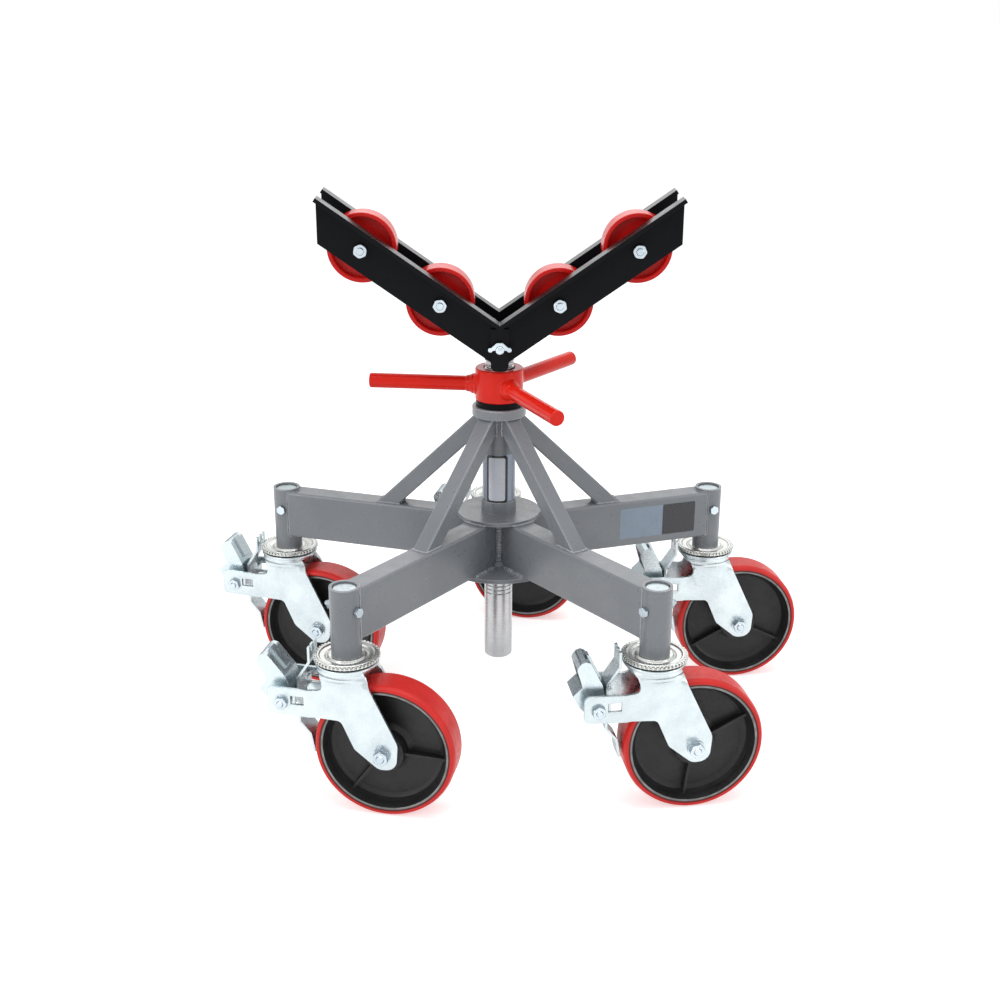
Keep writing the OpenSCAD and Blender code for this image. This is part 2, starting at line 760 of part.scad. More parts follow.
// One side view for both rails: a V as deep as given, measured plumb, with ends cut where asked
flange_tip = [vee_reach, vee_level + vee_reach * vee_tan];
flange_heel = flange_tip + rail_thickness * [sin(vee_angle), -cos(vee_angle)];
web_heel_level = vee_level + web_reach * vee_tan;
flange_half = [[0, vee_level], flange_tip, flange_heel, [0, vee_level - flange_drop]];
web_half = [[0, vee_level - flange_drop], [web_reach, web_heel_level - flange_drop],
    [web_reach, web_heel_level - web_drop], [0, vee_level - web_drop]];
function both_arms(half) =
    concat(half, [for (k = [len(half) - 2 : -1 : 1]) [-half[k][0], half[k][1]]]);

// A rail stands on the minus Y side; the other one is its mirror image
module rail() {
    difference() {
        union() {
            upright(both_arms(flange_half), web_inner, web_inner + flange_width);
            upright(both_arms(web_half), web_inner, web_outer);
        }
        for (place = roller_centres)
            cross_rod(place, roller_bolt_radius + bolt_gap, web_inner - cut_over, web_outer + cut_over);
        cross_rod([0, wing_level], wing_shank_radius + bolt_gap, web_inner - cut_over, web_outer + cut_over);
    }
}

module front_rail()
    color("Black")
        rail();

module rear_rail()
    color("Black")
        rotate([0, 0, half_turn])
            rail();

module head_socket_tube()
    color("Black")
        difference() {
            upright_ring(head_tube_radius, head_bore_radius, head_tube_base, saddle_level);
            cross_rod([0, wing_level], wing_shank_radius + bolt_gap, 0, head_tube_radius + cut_over);
        }

module head_saddle_plate()
    color("Black")
        translate([-saddle_half_length, -web_inner, saddle_level])
            cube([saddle_half_length + saddle_half_length, web_inner + web_inner, rail_thickness]);

strap_outline = [[-strap_half_width, strap_base, strap_corner], [strap_half_width, strap_base, strap_corner],
    [strap_half_width, strap_top, 0], [-strap_half_width, strap_top, 0]];

module head_strap()
    color("Black")
        difference() {
            upright(rounded(strap_outline), web_outer, strap_outer);
            cross_rod([0, wing_level], wing_shank_radius + running_gap, web_outer - cut_over, strap_outer + cut_over);
        }

// Nuts face the front and heads the rear
module roller_bolts()
    color("LightSteelBlue")
        for (place = roller_centres) {
            cross_rod(place, roller_bolt_radius, -web_outer - weld_gap - cut_over,
                web_outer + roller_nut_height + roller_bolt_end);
            cross_rod(place, roller_nut_radius, -web_outer - weld_gap - roller_head_height, -web_outer - weld_gap, hex_sides);
            cross_ring(place, roller_nut_radius, roller_bolt_radius + running_gap, web_outer + weld_gap,
                web_outer + roller_nut_height, hex_sides);
        }

module roller_spacers()
    color("DarkGray")
        for (place = roller_centres) {
            cross_ring(place, spacer_radius, roller_bolt_radius + bolt_gap, roller_half_width + face_gap, web_inner);
            cross_ring(place, spacer_radius, roller_bolt_radius + bolt_gap, -web_inner, -roller_half_width - face_gap);
        }

roller_profile = [[roller_bolt_radius + running_gap, -roller_half_width, 0], [roller_hub_radius, -roller_half_width, 0.5],
    [roller_hub_radius, -roller_web_half, roller_rounding],
    [roller_radius - roller_rim, -roller_web_half, roller_rounding],
    [roller_radius - roller_rim, -roller_half_width, roller_rounding],
    [roller_radius, -roller_half_width, roller_rounding], [roller_radius, roller_half_width, roller_rounding],
    [roller_radius - roller_rim, roller_half_width, roller_rounding],
    [roller_radius - roller_rim, roller_web_half, roller_rounding],
    [roller_hub_radius, roller_web_half, roller_rounding], [roller_hub_radius, roller_half_width, 0.5],
    [roller_bolt_radius + running_gap, roller_half_width, 0]];

module roller(k)
    color("Crimson")
        translate([roller_centres[k][0], 0, roller_centres[k][1]])
            rotate([quarter_turn, 0, 0])
                rotate_extrude()
                    polygon(rounded(roller_profile));

module roller_outer_left() roller(1);
module roller_inner_left() roller(0);
module roller_inner_right() roller(2);
module roller_outer_right() roller(3);

// The wings droop from a boss over the hub
wing_shape = rounded(wing_outline);
wing_front = wing_stand_off + wing_thickness;

module wing_screw()
    color("LightSteelBlue")
        translate([0, 0, wing_level])
            union() {
                cross_rod([0, 0], wing_shank_radius, wing_tip, strap_outer + face_gap + cut_over);
                translate([0, -strap_outer - face_gap, 0])
                    rotate([quarter_turn, 0, 0])
                        cylinder(r1 = wing_hub_radius, r2 = wing_hub_end_radius, h = wing_hub_length);
                for (side = [-1, 1])
                    upright([for (p = wing_shape) [side * p[0], p[1]]], strap_outer + wing_stand_off,
                        strap_outer + wing_front);
            }

// ---- Casters ----

axle_place = [trail, wheel_radius];
pedal_place = [-pedal_reach, pedal_level];

module yoke(k)
    color("Silver")
        at_caster(k)
            difference() {
                union() {
                    rotate_extrude()
                        polygon(rounded(crown_profile));
                    upright_pair(rounded(arm_outline), arm_inner, arm_outer);
                }
                translate([0, 0, kingpin_base])
                    cylinder(r = kingpin_radius + running_gap, h = socket_base - kingpin_base);
                cross_rod(axle_place, axle_radius + bolt_gap, -arm_outer - cut_over, arm_outer + cut_over);
                cross_rod(pedal_place, pedal_pin_radius + bolt_gap, -arm_outer - cut_over, arm_outer + cut_over);
                upright([[-slot_ends[1], slot_edges[0]], [-slot_ends[0], slot_edges[0]],
                    [-slot_ends[0], slot_edges[1]], [-slot_ends[1], slot_edges[1]]],
                    -arm_outer - cut_over, arm_outer + cut_over);
            }

// The axle bolt and the pedal's pin, each with its head, washers and nut
module pins(k)
    color("LightSteelBlue")
        at_caster(k) {
            cross_rod(axle_place, axle_radius, -arm_outer - axle_washer - cut_over,
                arm_outer + axle_washer + axle_nut_height + axle_end);
            cross_rod(axle_place, axle_nut_radius, -arm_outer - axle_washer - axle_nut_height,
                -arm_outer - axle_washer, hex_sides);
            cross_ring(axle_place, axle_washer_radius, axle_radius + bolt_gap, -arm_outer - axle_washer + weld_gap, -arm_outer);
            cross_ring(axle_place, axle_washer_radius, axle_radius + bolt_gap, arm_outer, arm_outer + axle_washer - weld_gap);
            cross_ring(axle_place, axle_nut_radius, axle_radius + running_gap, arm_outer + axle_washer,
                arm_outer + axle_washer + axle_nut_height, hex_sides);
            cross_rod(pedal_place, pedal_pin_radius, -arm_outer - cut_over, arm_outer + pedal_nut_height + axle_end);
            cross_rod(pedal_place, pedal_nut_radius, -arm_outer - weld_gap - pedal_nut_height,
                -arm_outer - weld_gap, hex_sides);
            cross_ring(pedal_place, pedal_nut_radius, pedal_pin_radius + running_gap, arm_outer + weld_gap,
                arm_outer + pedal_nut_height, hex_sides);
        }

module at_wheel(k) {
    at_caster(k)
        translate([trail, 0, wheel_radius])
            rotate([quarter_turn, 0, 0])
                children();
}

core_bore_radius = axle_radius + running_gap;
core_section = concat(
    [[core_bore_radius, core_profile[0][1]]],
    core_profile,
    [[tread_inner_radius, core_half_width], [tread_inner_radius, -core_half_width]],
    [for (k = [len(core_profile) - 1 : -1 : 0]) [core_profile[k][0], -core_profile[k][1]]],
    [[core_bore_radius, -core_profile[0][1]]]);

// A rib is drawn in side view on the right of the axle, level at its hub end and lower at the rim
rib_section = [[rib_radii[0], -rib_heights[0]], [rib_radii[1], -rib_heights[1]], [rib_radii[1], rib_heights[1]],
    [rib_radii[0], rib_heights[0]]];

module wheel_core(k)
    color("#202124")
        at_wheel(k)
            union() {
                rotate_extrude()
                    polygon(core_section);
                for (rib = [0 : rib_count - 1])
                    rotate([0, 0, rib_angles[k] + rib * full_turn / rib_count])
                        upright(rib_section, -rib_half, rib_half);
            }

module tyre(k)
    color("Crimson")
        at_wheel(k)
            rotate_extrude()
                polygon(rounded([[tread_inner_radius + running_gap, -wheel_half_width, 0],
                    [wheel_radius, -wheel_half_width, tread_rounding], [wheel_radius, wheel_half_width, tread_rounding],
                    [tread_inner_radius + running_gap, wheel_half_width, 0]]));

// A folded pedal with two cheeks, its barrel around the pin and the cam between them
module pedal(k)
    color("Silver")
        at_caster(k)
            translate([-pedal_reach, 0, pedal_level])
                rotate([0, -pedal_presses[k], 0])
                    difference() {
                        union() {
                            difference() {
                                upright(rounded(pedal_outline), -pedal_half_width, pedal_half_width);
                                upright(rounded(pedal_hollow), pedal_sheet - pedal_half_width,
                                    pedal_half_width - pedal_sheet);
                            }
                            upright(tab_outline, -pedal_half_width, pedal_half_width);
                            upright(rounded(rib_outline), -rib_width_half, rib_width_half);
                            cross_rod([0, 0], barrel_radius, face_gap - arm_inner, arm_inner - face_gap);
                            upright(rounded(cam_outline), -cam_half_width, cam_half_width);
                        }
                        cross_rod([0, 0], pedal_pin_radius + running_gap, -arm_inner, arm_inner);
                    }

// The box that a notch takes out of a leaf's top, in side view
leaf_notch = [for (across = [-cut_over, leaf_thickness + cut_over], up = [-leaf_notch_depth, cut_over])
    leaf_path[0] + [across, up]];

// A bent sheet between the fork's arms, with three teeth on top and an ear through each arm's slot
module brake_leaf(k)
    color("Silver")
        at_caster(k)
            translate([leaf_shifts[k], 0, 0])
                union() {
                    difference() {
                        upright(ribbon(leaf_path, leaf_thickness), -leaf_half_width, leaf_half_width);
                        upright_pair([leaf_notch[0], leaf_notch[2], leaf_notch[3], leaf_notch[1]],
                            leaf_tooth_half, leaf_tooth_half + leaf_notch_width);
                    }
                    upright([[leaf_path[2][0], ear_edges[0]], [leaf_path[2][0] + leaf_thickness, ear_edges[0]],
                        [leaf_path[2][0] + leaf_thickness, ear_edges[1]], [leaf_path[2][0], ear_edges[1]]],
                        -arm_outer - ear_overhang, arm_outer + ear_overhang);
                }

module yoke_right() yoke(RIGHT);
module yoke_rear() yoke(REAR);
module yoke_left() yoke(LEFT);
module yoke_front_left() yoke(FRONT_LEFT);
module yoke_front_right() yoke(FRONT_RIGHT);
module pins_right() pins(RIGHT);
module pins_rear() pins(REAR);
module pins_left() pins(LEFT);
module pins_front_left() pins(FRONT_LEFT);
module pins_front_right() pins(FRONT_RIGHT);
module wheel_core_right() wheel_core(RIGHT);
module wheel_core_rear() wheel_core(REAR);
module wheel_core_left() wheel_core(LEFT);
module wheel_core_front_left() wheel_core(FRONT_LEFT);
module wheel_core_front_right() wheel_core(FRONT_RIGHT);
module tyre_right() tyre(RIGHT);
module tyre_rear() tyre(REAR);
module tyre_left() tyre(LEFT);
module tyre_front_left() tyre(FRONT_LEFT);
module tyre_front_right() tyre(FRONT_RIGHT);
module pedal_right() pedal(RIGHT);
module pedal_rear() pedal(REAR);
module pedal_left() pedal(LEFT);
module pedal_front_left() pedal(FRONT_LEFT);
module pedal_front_right() pedal(FRONT_RIGHT);
module brake_leaf_right() brake_leaf(RIGHT);
module brake_leaf_rear() brake_leaf(REAR);
module brake_leaf_left() brake_leaf(LEFT);
module brake_leaf_front_left() brake_leaf(FRONT_LEFT);
module brake_leaf_front_right() brake_leaf(FRONT_RIGHT);

// ---- Output ----

lower_hub_plate();
upper_hub_plate();
centre_tube();
tube_foot_ring();
top_collar();
leg_beams();
brace_tubes();
caster_sockets();
socket_bolts();
caster_stems();
swivel_rings();
bearing_seat();
bearing_balls();
bearing_cap();
handle_nut();
handle_bars();
lift_screw();
front_rail();
rear_rail();
head_socket_tube();
head_saddle_plate();
head_strap();
roller_bolts();
roller_spacers();
roller_outer_left();
roller_inner_left();
roller_inner_right();
roller_outer_right();
wing_screw();
yoke_right();
yoke_rear();
yoke_left();
yoke_front_left();
yoke_front_right();
pins_right();
pins_rear();
pins_left();
pins_front_left();
pins_front_right();
wheel_core_right();
wheel_core_rear();
wheel_core_left();
wheel_core_front_left();
wheel_core_front_right();
tyre_right();
tyre_rear();
tyre_left();
tyre_front_left();
tyre_front_right();
pedal_right();
pedal_rear();
pedal_left();
pedal_front_left();
pedal_front_right();
brake_leaf_right();
brake_leaf_rear();
brake_leaf_left();
brake_leaf_front_left();
brake_leaf_front_right();
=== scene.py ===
# %% [markdown]
# # Pipe jack stand
# This lesson dresses a pipe jack stand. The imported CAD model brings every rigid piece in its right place, in
# metres, with the floor at Z zero and the screw on the Z axis. Here each piece gets its finish, and the pieces
# whose charm is in fine shape, such as the screw thread, the pressed forks and the cast wheels, are built anew.

# %% Load the frame
import json
import math

import bmesh
import bpy
from mathutils import Matrix, Vector


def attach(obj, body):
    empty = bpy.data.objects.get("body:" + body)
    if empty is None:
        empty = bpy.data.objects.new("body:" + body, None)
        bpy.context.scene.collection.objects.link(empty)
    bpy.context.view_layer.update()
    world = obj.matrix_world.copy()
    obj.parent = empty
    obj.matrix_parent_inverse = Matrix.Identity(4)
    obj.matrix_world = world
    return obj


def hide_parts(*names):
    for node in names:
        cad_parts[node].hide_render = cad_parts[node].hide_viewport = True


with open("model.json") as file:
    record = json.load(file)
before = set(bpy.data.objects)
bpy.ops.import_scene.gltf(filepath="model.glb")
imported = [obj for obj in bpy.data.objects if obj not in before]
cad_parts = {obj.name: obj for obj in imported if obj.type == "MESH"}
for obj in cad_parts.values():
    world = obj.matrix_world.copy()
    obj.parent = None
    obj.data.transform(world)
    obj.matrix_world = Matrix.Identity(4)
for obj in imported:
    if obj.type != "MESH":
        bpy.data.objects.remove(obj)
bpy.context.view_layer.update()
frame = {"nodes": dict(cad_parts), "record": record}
NODES = frame["nodes"]
MM = 0.001

# %% [markdown]
# ## Writing node trees
# The studio, the finishes and the grown pieces are all trees of nodes. One class writes all three, so that a node
# is one line that says its kind and what goes into it.

# %% Nodes in short lines
class Nodes:
    """Writes the nodes and links of one tree."""

    def __init__(self, tree):
        self.tree = tree

    def plug(self, value, socket):
        """Links an output, or each output of a list, to a socket, or writes a constant on it."""
        if isinstance(value, bpy.types.NodeSocket):
            self.tree.links.new(value, socket)
        elif isinstance(value, list):
            for one in value:
                self.tree.links.new(one, socket)
        else:
            socket.default_value = value

    def add(self, kind, **settings):
        """A node; its settings are properties, or sockets when their names start with a capital."""
        node = self.tree.nodes.new(kind)
        for label, value in settings.items():
            if label[0].islower():
                setattr(node, label, value)
        return self.fit(node, **{label: value for label, value in settings.items() if label[0].isupper()})

    def fit(self, node, **sockets):
        """Plugs values into sockets by their names."""
        for label, value in sockets.items():
            self.plug(value, node.inputs[label.replace("_", " ")])
        return node

    def fill(self, node, *values):
        """Plugs values into a node's first sockets, in their order, and gives its first output."""
        for value, socket in zip(values, node.inputs):
            self.plug(value, socket)
        return node.outputs[0]

    def math(self, how, a, b):
        return self.fill(self.add("ShaderNodeMath", operation=how), a, b)


print("node helpers ready")

# %% [markdown]
# ## The camera
# The photograph was taken from about two metres away and a little above the head, looking down 20 degrees.
# The view is written as a place, three angles and a lens, and turned into a matrix whose columns are the
# camera's right, up and backward directions.

# %% Place the camera
CAMERA_PLACE = Vector((-0.02621, -1.99071, 1.07987))
CAMERA_YAW, CAMERA_PITCH, CAMERA_ROLL = (math.radians(a) for a in (0.81, -20.12, 0.26))
CAMERA_LENS = 49.73
SENSOR_WIDTH = 36.0
CLIP_END = 50


def camera_turn(yaw, pitch, roll):
    """The camera's right, up and backward directions as the columns of a matrix."""
    ahead = Vector((math.sin(yaw) * math.cos(pitch), math.cos(yaw) * math.cos(pitch), math.sin(pitch)))
    level = Vector((math.cos(yaw), -math.sin(yaw), 0))
    above = level.cross(ahead)
    right = level * math.cos(roll) + above * math.sin(roll)
    up = above * math.cos(roll) - level * math.sin(roll)
    return Matrix((right, up, -ahead)).transposed()


camera_data = bpy.data.cameras.new("photo_camera")
camera_data.lens = CAMERA_LENS
camera_data.sensor_width = SENSOR_WIDTH
camera_data.clip_end = CLIP_END
camera = bpy.data.objects.new("photo_camera", camera_data)
camera.matrix_world = Matrix.Translation(CAMERA_PLACE) @ camera_turn(CAMERA_YAW, CAMERA_PITCH, CAMERA_ROLL).to_4x4()
bpy.context.scene.collection.objects.link(camera)
bpy.context.scene.camera = camera
print("camera at", [round(c, 3) for c in CAMERA_PLACE])

# %% [markdown]
# ## Light and floor
# Product photographs are lit from large soft sources so that metal shows broad pale reflections, while the dark
# room round them keeps the shaded sides deep. A long lamp above, a tall strip on each side, which draws a bright
# line on every round bar, a broad one behind and a weak world do that here. The floor is a big pale sheet of paper
# that keeps the stand's shadow. The camera sees the paper and the room behind it nearly white, also in a
# reflection, without that white lighting the stand.

# %% Build the studio
WORLD_STRENGTH = 0.60
PAPER_GLOW = 0.50
WHITE, PAPER = (1, 1, 1, 1), (0.9, 0.9, 0.9, 1)
FLOOR_HALF = 60.0
LAMP_TARGET = Vector((0, 0, 0.35))
LAMPS = [
    # name, place, width and height in metres, power in watts
    ("top_lamp", (0.0, -0.5, 3.0), (3.0, 0.8), 34),
    ("left_lamp", (-2.4, -2.0, 1.5), (0.5, 2.2), 26),
    ("right_lamp", (2.7, -1.4, 1.3), (0.4, 2.0), 15),
    ("back_lamp", (0.3, 2.6, 2.2), (2.2, 2.2), 14),
]


def seen_or_not(t, unseen, seen):
    """One shader for rays that show the room to the camera, straight or by a mirror or window, and one for others."""
    path = t.add("ShaderNodeLightPath")
    share = path.outputs["Is Camera Ray"]
    for label in ("Is Glossy Ray", "Is Transmission Ray"):
        share = t.math("MAXIMUM", share, path.outputs[label])
    return t.fill(t.add("ShaderNodeMixShader"), share, unseen, seen)


def background_world():
    world = bpy.data.worlds.new("studio_world")
    world.use_nodes = True
    world.node_tree.nodes.clear()
    t = Nodes(world.node_tree)
    weak, white = (t.add("ShaderNodeBackground", Color=WHITE, Strength=strength).outputs[0]
                   for strength in (WORLD_STRENGTH, 1.0))
    t.add("ShaderNodeOutputWorld", Surface=seen_or_not(t, weak, white))
    return world


def add_lamp(name, place, size, power):
    data = bpy.data.lights.new(name, "AREA")
    data.shape = "RECTANGLE"
    data.size, data.size_y = size
    data.energy = power
    lamp = bpy.data.objects.new(name, data)
    lamp.location = place
    lamp.rotation_euler = (LAMP_TARGET - Vector(place)).to_track_quat("-Z", "Y").to_euler()
    bpy.context.scene.collection.objects.link(lamp)


def link_mesh(name, mesh):
    """A new object at the origin, unturned, that holds the mesh."""
    made = bpy.data.objects.new(name, mesh)
    bpy.context.scene.collection.objects.link(made)
    return made


def studio_floor():
    paint = bpy.data.materials.new("floor_paper")
    paint.use_nodes = True
    t = Nodes(paint.node_tree)
    paper = t.fit(t.tree.nodes["Principled BSDF"], Base_Color=PAPER, Roughness=0.9, Specular_IOR_Level=0.1).outputs[0]
    glow = t.add("ShaderNodeEmission", Strength=PAPER_GLOW).outputs[0]
    glowing = t.fill(t.add("ShaderNodeAddShader"), paper, glow)
    t.fit(t.tree.nodes["Material Output"], Surface=seen_or_not(t, paper, glowing))
    mesh = bpy.data.meshes.new("studio_floor")
    h = FLOOR_HALF
    mesh.from_pydata([(-h, -h, 0), (h, -h, 0), (h, h, 0), (-h, h, 0)], [], [(0, 1, 2, 3)])
    mesh.materials.append(paint)
    link_mesh("studio_floor", mesh)


bpy.context.scene.world = background_world()
bpy.context.scene.view_settings.view_transform = "Standard"
for lamp in LAMPS:
    add_lamp(*lamp)
studio_floor()
print("lamps:", len(LAMPS))

# %% [markdown]
# ## Finishes
# Every finish below starts from one Principled shader and adds the small things that make a surface real: paint
# has an orange-peel skin, zinc plate is cloudy, turned steel has fine rings. The patterns read Object coordinates,
# so they are in metres and stay with the piece. A soft edge comes from the Bevel node, which rounds the light on a
# sharp edge without touching the mesh.

# %% Helpers for finishes
EDGE_SOFTNESS = 0.0007
EDGE_SAMPLES = 4


class Finish(Nodes):
    """A material with its shader, its Object coordinates and short ways to add patterns."""

    def __init__(self, name, colour, roughness, metallic=0.0, edge=EDGE_SOFTNESS, gloss=0.5):
        self.material = bpy.data.materials.new(name)
        self.material.use_nodes = True
        super().__init__(self.material.node_tree)
        self.shader = self.tree.nodes["Principled BSDF"]
        self.fit(self.shader, Base_Color=(*colour, 1), Roughness=roughness, Metallic=metallic,
                 Specular_IOR_Level=gloss)
        coordinates = self.add("ShaderNodeTexCoord")
        self.coords, self.facing = coordinates.outputs["Object"], coordinates.outputs["Normal"]
        self.normal = self.bevel(edge) if edge else None
        if edge:
            self.fit(self.shader, Normal=self.normal)

    def bevel(self, radius):
        """The surface's direction with its sharp edges rounded off."""
        return self.add("ShaderNodeBevel", samples=EDGE_SAMPLES, Radius=radius).outputs["Normal"]

    def noise(self, scale, detail=2.0, stretch=None):
        """A cloudy pattern, of scale clouds a metre, that a stretch can pull along the axes."""
        place = self.coords
        if stretch:
            place = self.add("ShaderNodeMapping", Scale=stretch, Vector=place).outputs["Vector"]
        return self.add("ShaderNodeTexNoise", Scale=scale, Detail=detail, Vector=place).outputs["Fac"]

    def spread(self, value, low, high, start=0.3, end=0.7):
        """Maps a pattern's values between start and end to a range of another size."""
        return self.add("ShaderNodeMapRange", From_Min=start, From_Max=end, To_Min=low, To_Max=high,
                        Value=value).outputs["Result"]

    def blend(self, share, a, b):
        """A colour between a and b, which are colours or outputs."""
        node = self.add("ShaderNodeMix", data_type="RGBA")
        for value, socket in ((share, 0), (a, 6), (b, 7)):
            self.plug((*value, 1) if isinstance(value, tuple) else value, node.inputs[socket])
        return node.outputs[2]

    def drift(self, dark, light, scale, detail):
        """A colour that drifts between two."""
        return self.blend(self.spread(self.noise(scale, detail), 0, 1), dark, light)

    def colour(self, output):
        self.fit(self.shader, Base_Color=output)

    def matt(self, pattern, low, high):
        """A roughness that follows a pattern."""
        self.fit(self.shader, Roughness=self.spread(pattern, low, high))

    def relief(self, height, depth):
        """Bumps the surface by a pattern, depth metres from low to high."""
        bump = self.add("ShaderNodeBump", Strength=1.0, Distance=depth, Height=height)
        if self.normal:
            self.fit(bump, Normal=self.normal)
        self.normal = bump.outputs["Normal"]
        self.fit(self.shader, Normal=self.normal)

    def shine_on_top(self, low, high):
        """More gloss on faces that look up, where paint flows out thick and smooth in the oven."""
        up = self.add("ShaderNodeSeparateXYZ", Vector=self.facing).outputs["Z"]
        self.fit(self.shader, Specular_IOR_Level=self.spread(up, low, high, 0.4, 0.7))

    def glancing(self, start, end):
        """0 on what faces the viewer, 1 on what is seen nearly edge-on."""
        weight = self.add("ShaderNodeLayerWeight", Blend=0.5, Normal=self.normal)
        return self.spread(weight.outputs["Facing"], 0, 1, start, end)

    def painted_edge_highlight(self, bright, colour, width):
        """A painted highlight: a lighter colour blended in along sharp edges, where the Bevel node's normal leaves
        the surface's own.
        """
        dot = self.add("ShaderNodeVectorMath", operation="DOT_PRODUCT")
        self.fill(dot, self.bevel(width), self.add("ShaderNodeNewGeometry").outputs["Normal"])
        return self.blend(self.spread(dot.outputs["Value"], 0.55, 0.0, 0.88, 0.99), colour, bright)


def powder_coat(name, dark, light, roughness, peel=0.00006, bright=None, gloss=0.5, top_gloss=None,
                edge_width=0.0009):
    """Baked powder paint: even colour with a faint drift, and an orange-peel skin of about a millimetre. A bright
    colour, when given, is painted along the sharp edges as light that catches them.
    """
    f = Finish(name, light, roughness, gloss=gloss)
    tone = f.drift(dark, light, scale=9, detail=3)
    f.colour(f.painted_edge_highlight(bright, tone, edge_width) if bright else tone)
    f.matt(f.noise(60, 3), roughness - 0.05, roughness + 0.06)
    f.relief(f.noise(820, 1.5), peel)
    if top_gloss:
        f.shine_on_top(gloss, top_gloss)
    return f.material


def zinc_plate(name, colour, shade, roughness, waviness=0.00012, rim=None, rim_from=0.4):
    """Bright zinc: bluish, a little cloudy, with the sheet's fine grain. A rim colour, when given, is painted shade
    where the surface turns edge-on, standing in for the reflection of a dark room.
    """
    f = Finish(name, colour, roughness, metallic=0.9)
    cloud = f.math("MULTIPLY", f.noise(38, 4), f.spread(f.noise(9, 2), 0.75, 1.25))
    plate = f.blend(f.spread(cloud, 0, 1, 0.3, 0.75), shade, colour)
    f.colour(f.blend(f.glancing(rim_from, 0.95), plate, rim) if rim else plate)
    f.matt(f.noise(150, 4), roughness - 0.06, roughness + 0.10)
    f.relief(f.noise(1300, 2), 0.00002)
    f.relief(f.noise(70, 2), waviness)
    return f.material


def turned_steel():
    """Bright turned bar: fine rings round the Z axis and a little oil haze."""
    f = Finish("turned_steel", (0.48, 0.49, 0.50), 0.28, metallic=0.95)
    rings = f.noise(60, 2, stretch=(0.2, 0.2, 40))
    f.colour(f.drift((0.40, 0.41, 0.42), (0.54, 0.55, 0.56), scale=14, detail=3))
    f.matt(rings, 0.2, 0.38)
    f.relief(rings, 0.00003)
    return f.material


def plain_skin(name, colour, roughness, drift=None, matt=None, reliefs=(), **shader):
    """A cast, moulded or printed skin: drift and matt are patterns of colour and roughness, reliefs its bumps."""
    f = Finish(name, colour, roughness, **shader)
    if drift:
        f.colour(f.drift(*drift))
    if matt:
        scale, detail, low, high = matt
        f.matt(f.noise(scale, detail), low, high)
    for scale, detail, depth in reliefs:
        f.relief(f.noise(scale, detail), depth)
    return f


print("finish helpers ready")

# %% Mix the finishes
# The bright colours of the paints are painted highlights along their sharp edges.
frame_paint = powder_coat("frame_grey_powder", (0.172, 0.186, 0.203), (0.205, 0.220, 0.238), 0.30, peel=0.00003,
                          bright=(0.78, 0.82, 0.87), edge_width=0.0015)
head_paint = powder_coat("head_black_powder", (0.004, 0.0045, 0.006), (0.006, 0.0065, 0.008), 0.30,
                         bright=(0.022, 0.023, 0.026), gloss=0.08, top_gloss=0.6)
handle_paint = powder_coat("handle_red_powder", (0.62, 0.012, 0.005), (0.74, 0.018, 0.008), 0.17,
                           bright=(0.85, 0.13, 0.10), gloss=0.18)
roller_paint = powder_coat("roller_red_powder", (0.56, 0.008, 0.007), (0.66, 0.014, 0.011), 0.22, gloss=0.2)
# The rim colour of each zinc is painted shade on faces seen edge-on, in place of dark reflections.
plated_zinc = zinc_plate("pressed_zinc", (0.68, 0.755, 0.77), (0.56, 0.63, 0.66), 0.28, rim=(0.20, 0.25, 0.27))
pedal_zinc = zinc_plate("pedal_zinc", (0.64, 0.72, 0.75), (0.59, 0.67, 0.70), 0.24, waviness=0.00001,
                        rim=(0.12, 0.16, 0.18), rim_from=0.3)
bolt_zinc = zinc_plate("bolt_zinc", (0.66, 0.74, 0.79), (0.52, 0.60, 0.66), 0.16, waviness=0.00002,
                       rim=(0.05, 0.075, 0.10), rim_from=0.15)
ring_zinc = zinc_plate("ring_zinc", (0.66, 0.67, 0.65), (0.56, 0.57, 0.55), 0.24, waviness=0.00002,
                       rim=(0.24, 0.25, 0.24), rim_from=0.72)
ball_steel = zinc_plate("ball_steel", (0.86, 0.86, 0.87), (0.8, 0.8, 0.82), 0.08)
screw_steel = turned_steel()
bearing_black = plain_skin("bearing_black_oxide", (0.004, 0.004, 0.005), 0.25, gloss=0.06,
                           matt=(240, 3, 0.18, 0.3), reliefs=[(900, 1, 0.00001)]).material
# Sand-cast iron under black paint has a rough skin with a few pits
core_black = plain_skin("wheel_cast_black", (0.012, 0.012, 0.013), 0.4, gloss=0.35,
                        drift=((0.008, 0.008, 0.009), (0.016, 0.016, 0.017), 30, 4), matt=(200, 3, 0.34, 0.52),
                        reliefs=[(520, 3, 0.00016), (90, 2, 0.0003)]).material
# The lathe-faced edge of a rim is grey iron with fine turning marks
rim_edge = plain_skin("rim_edge_iron", (0.20, 0.205, 0.20), 0.45, metallic=0.6,
                      drift=((0.13, 0.135, 0.13), (0.26, 0.265, 0.26), 70, 3),
                      reliefs=[(900, 1, 0.00003)]).material
# Cast polyurethane is an even red with a soft skin and faint moulding flow, and a darker band next to the rim
DARK_BAND = "bond"
tread = plain_skin("tread_with_bond_line", (0.64, 0.022, 0.018), 0.34, gloss=0.3, matt=(120, 3, 0.3, 0.46),
                   reliefs=[(260, 2, 0.00005)])
dark_band_mask = tread.add("ShaderNodeAttribute", attribute_name=DARK_BAND).outputs["Fac"]
tread.colour(tread.blend(dark_band_mask, tread.drift((0.58, 0.018, 0.014), (0.70, 0.026, 0.021), 22, 3),
                         (0.10, 0.008, 0.008)))
print("finishes:", len(bpy.data.materials))

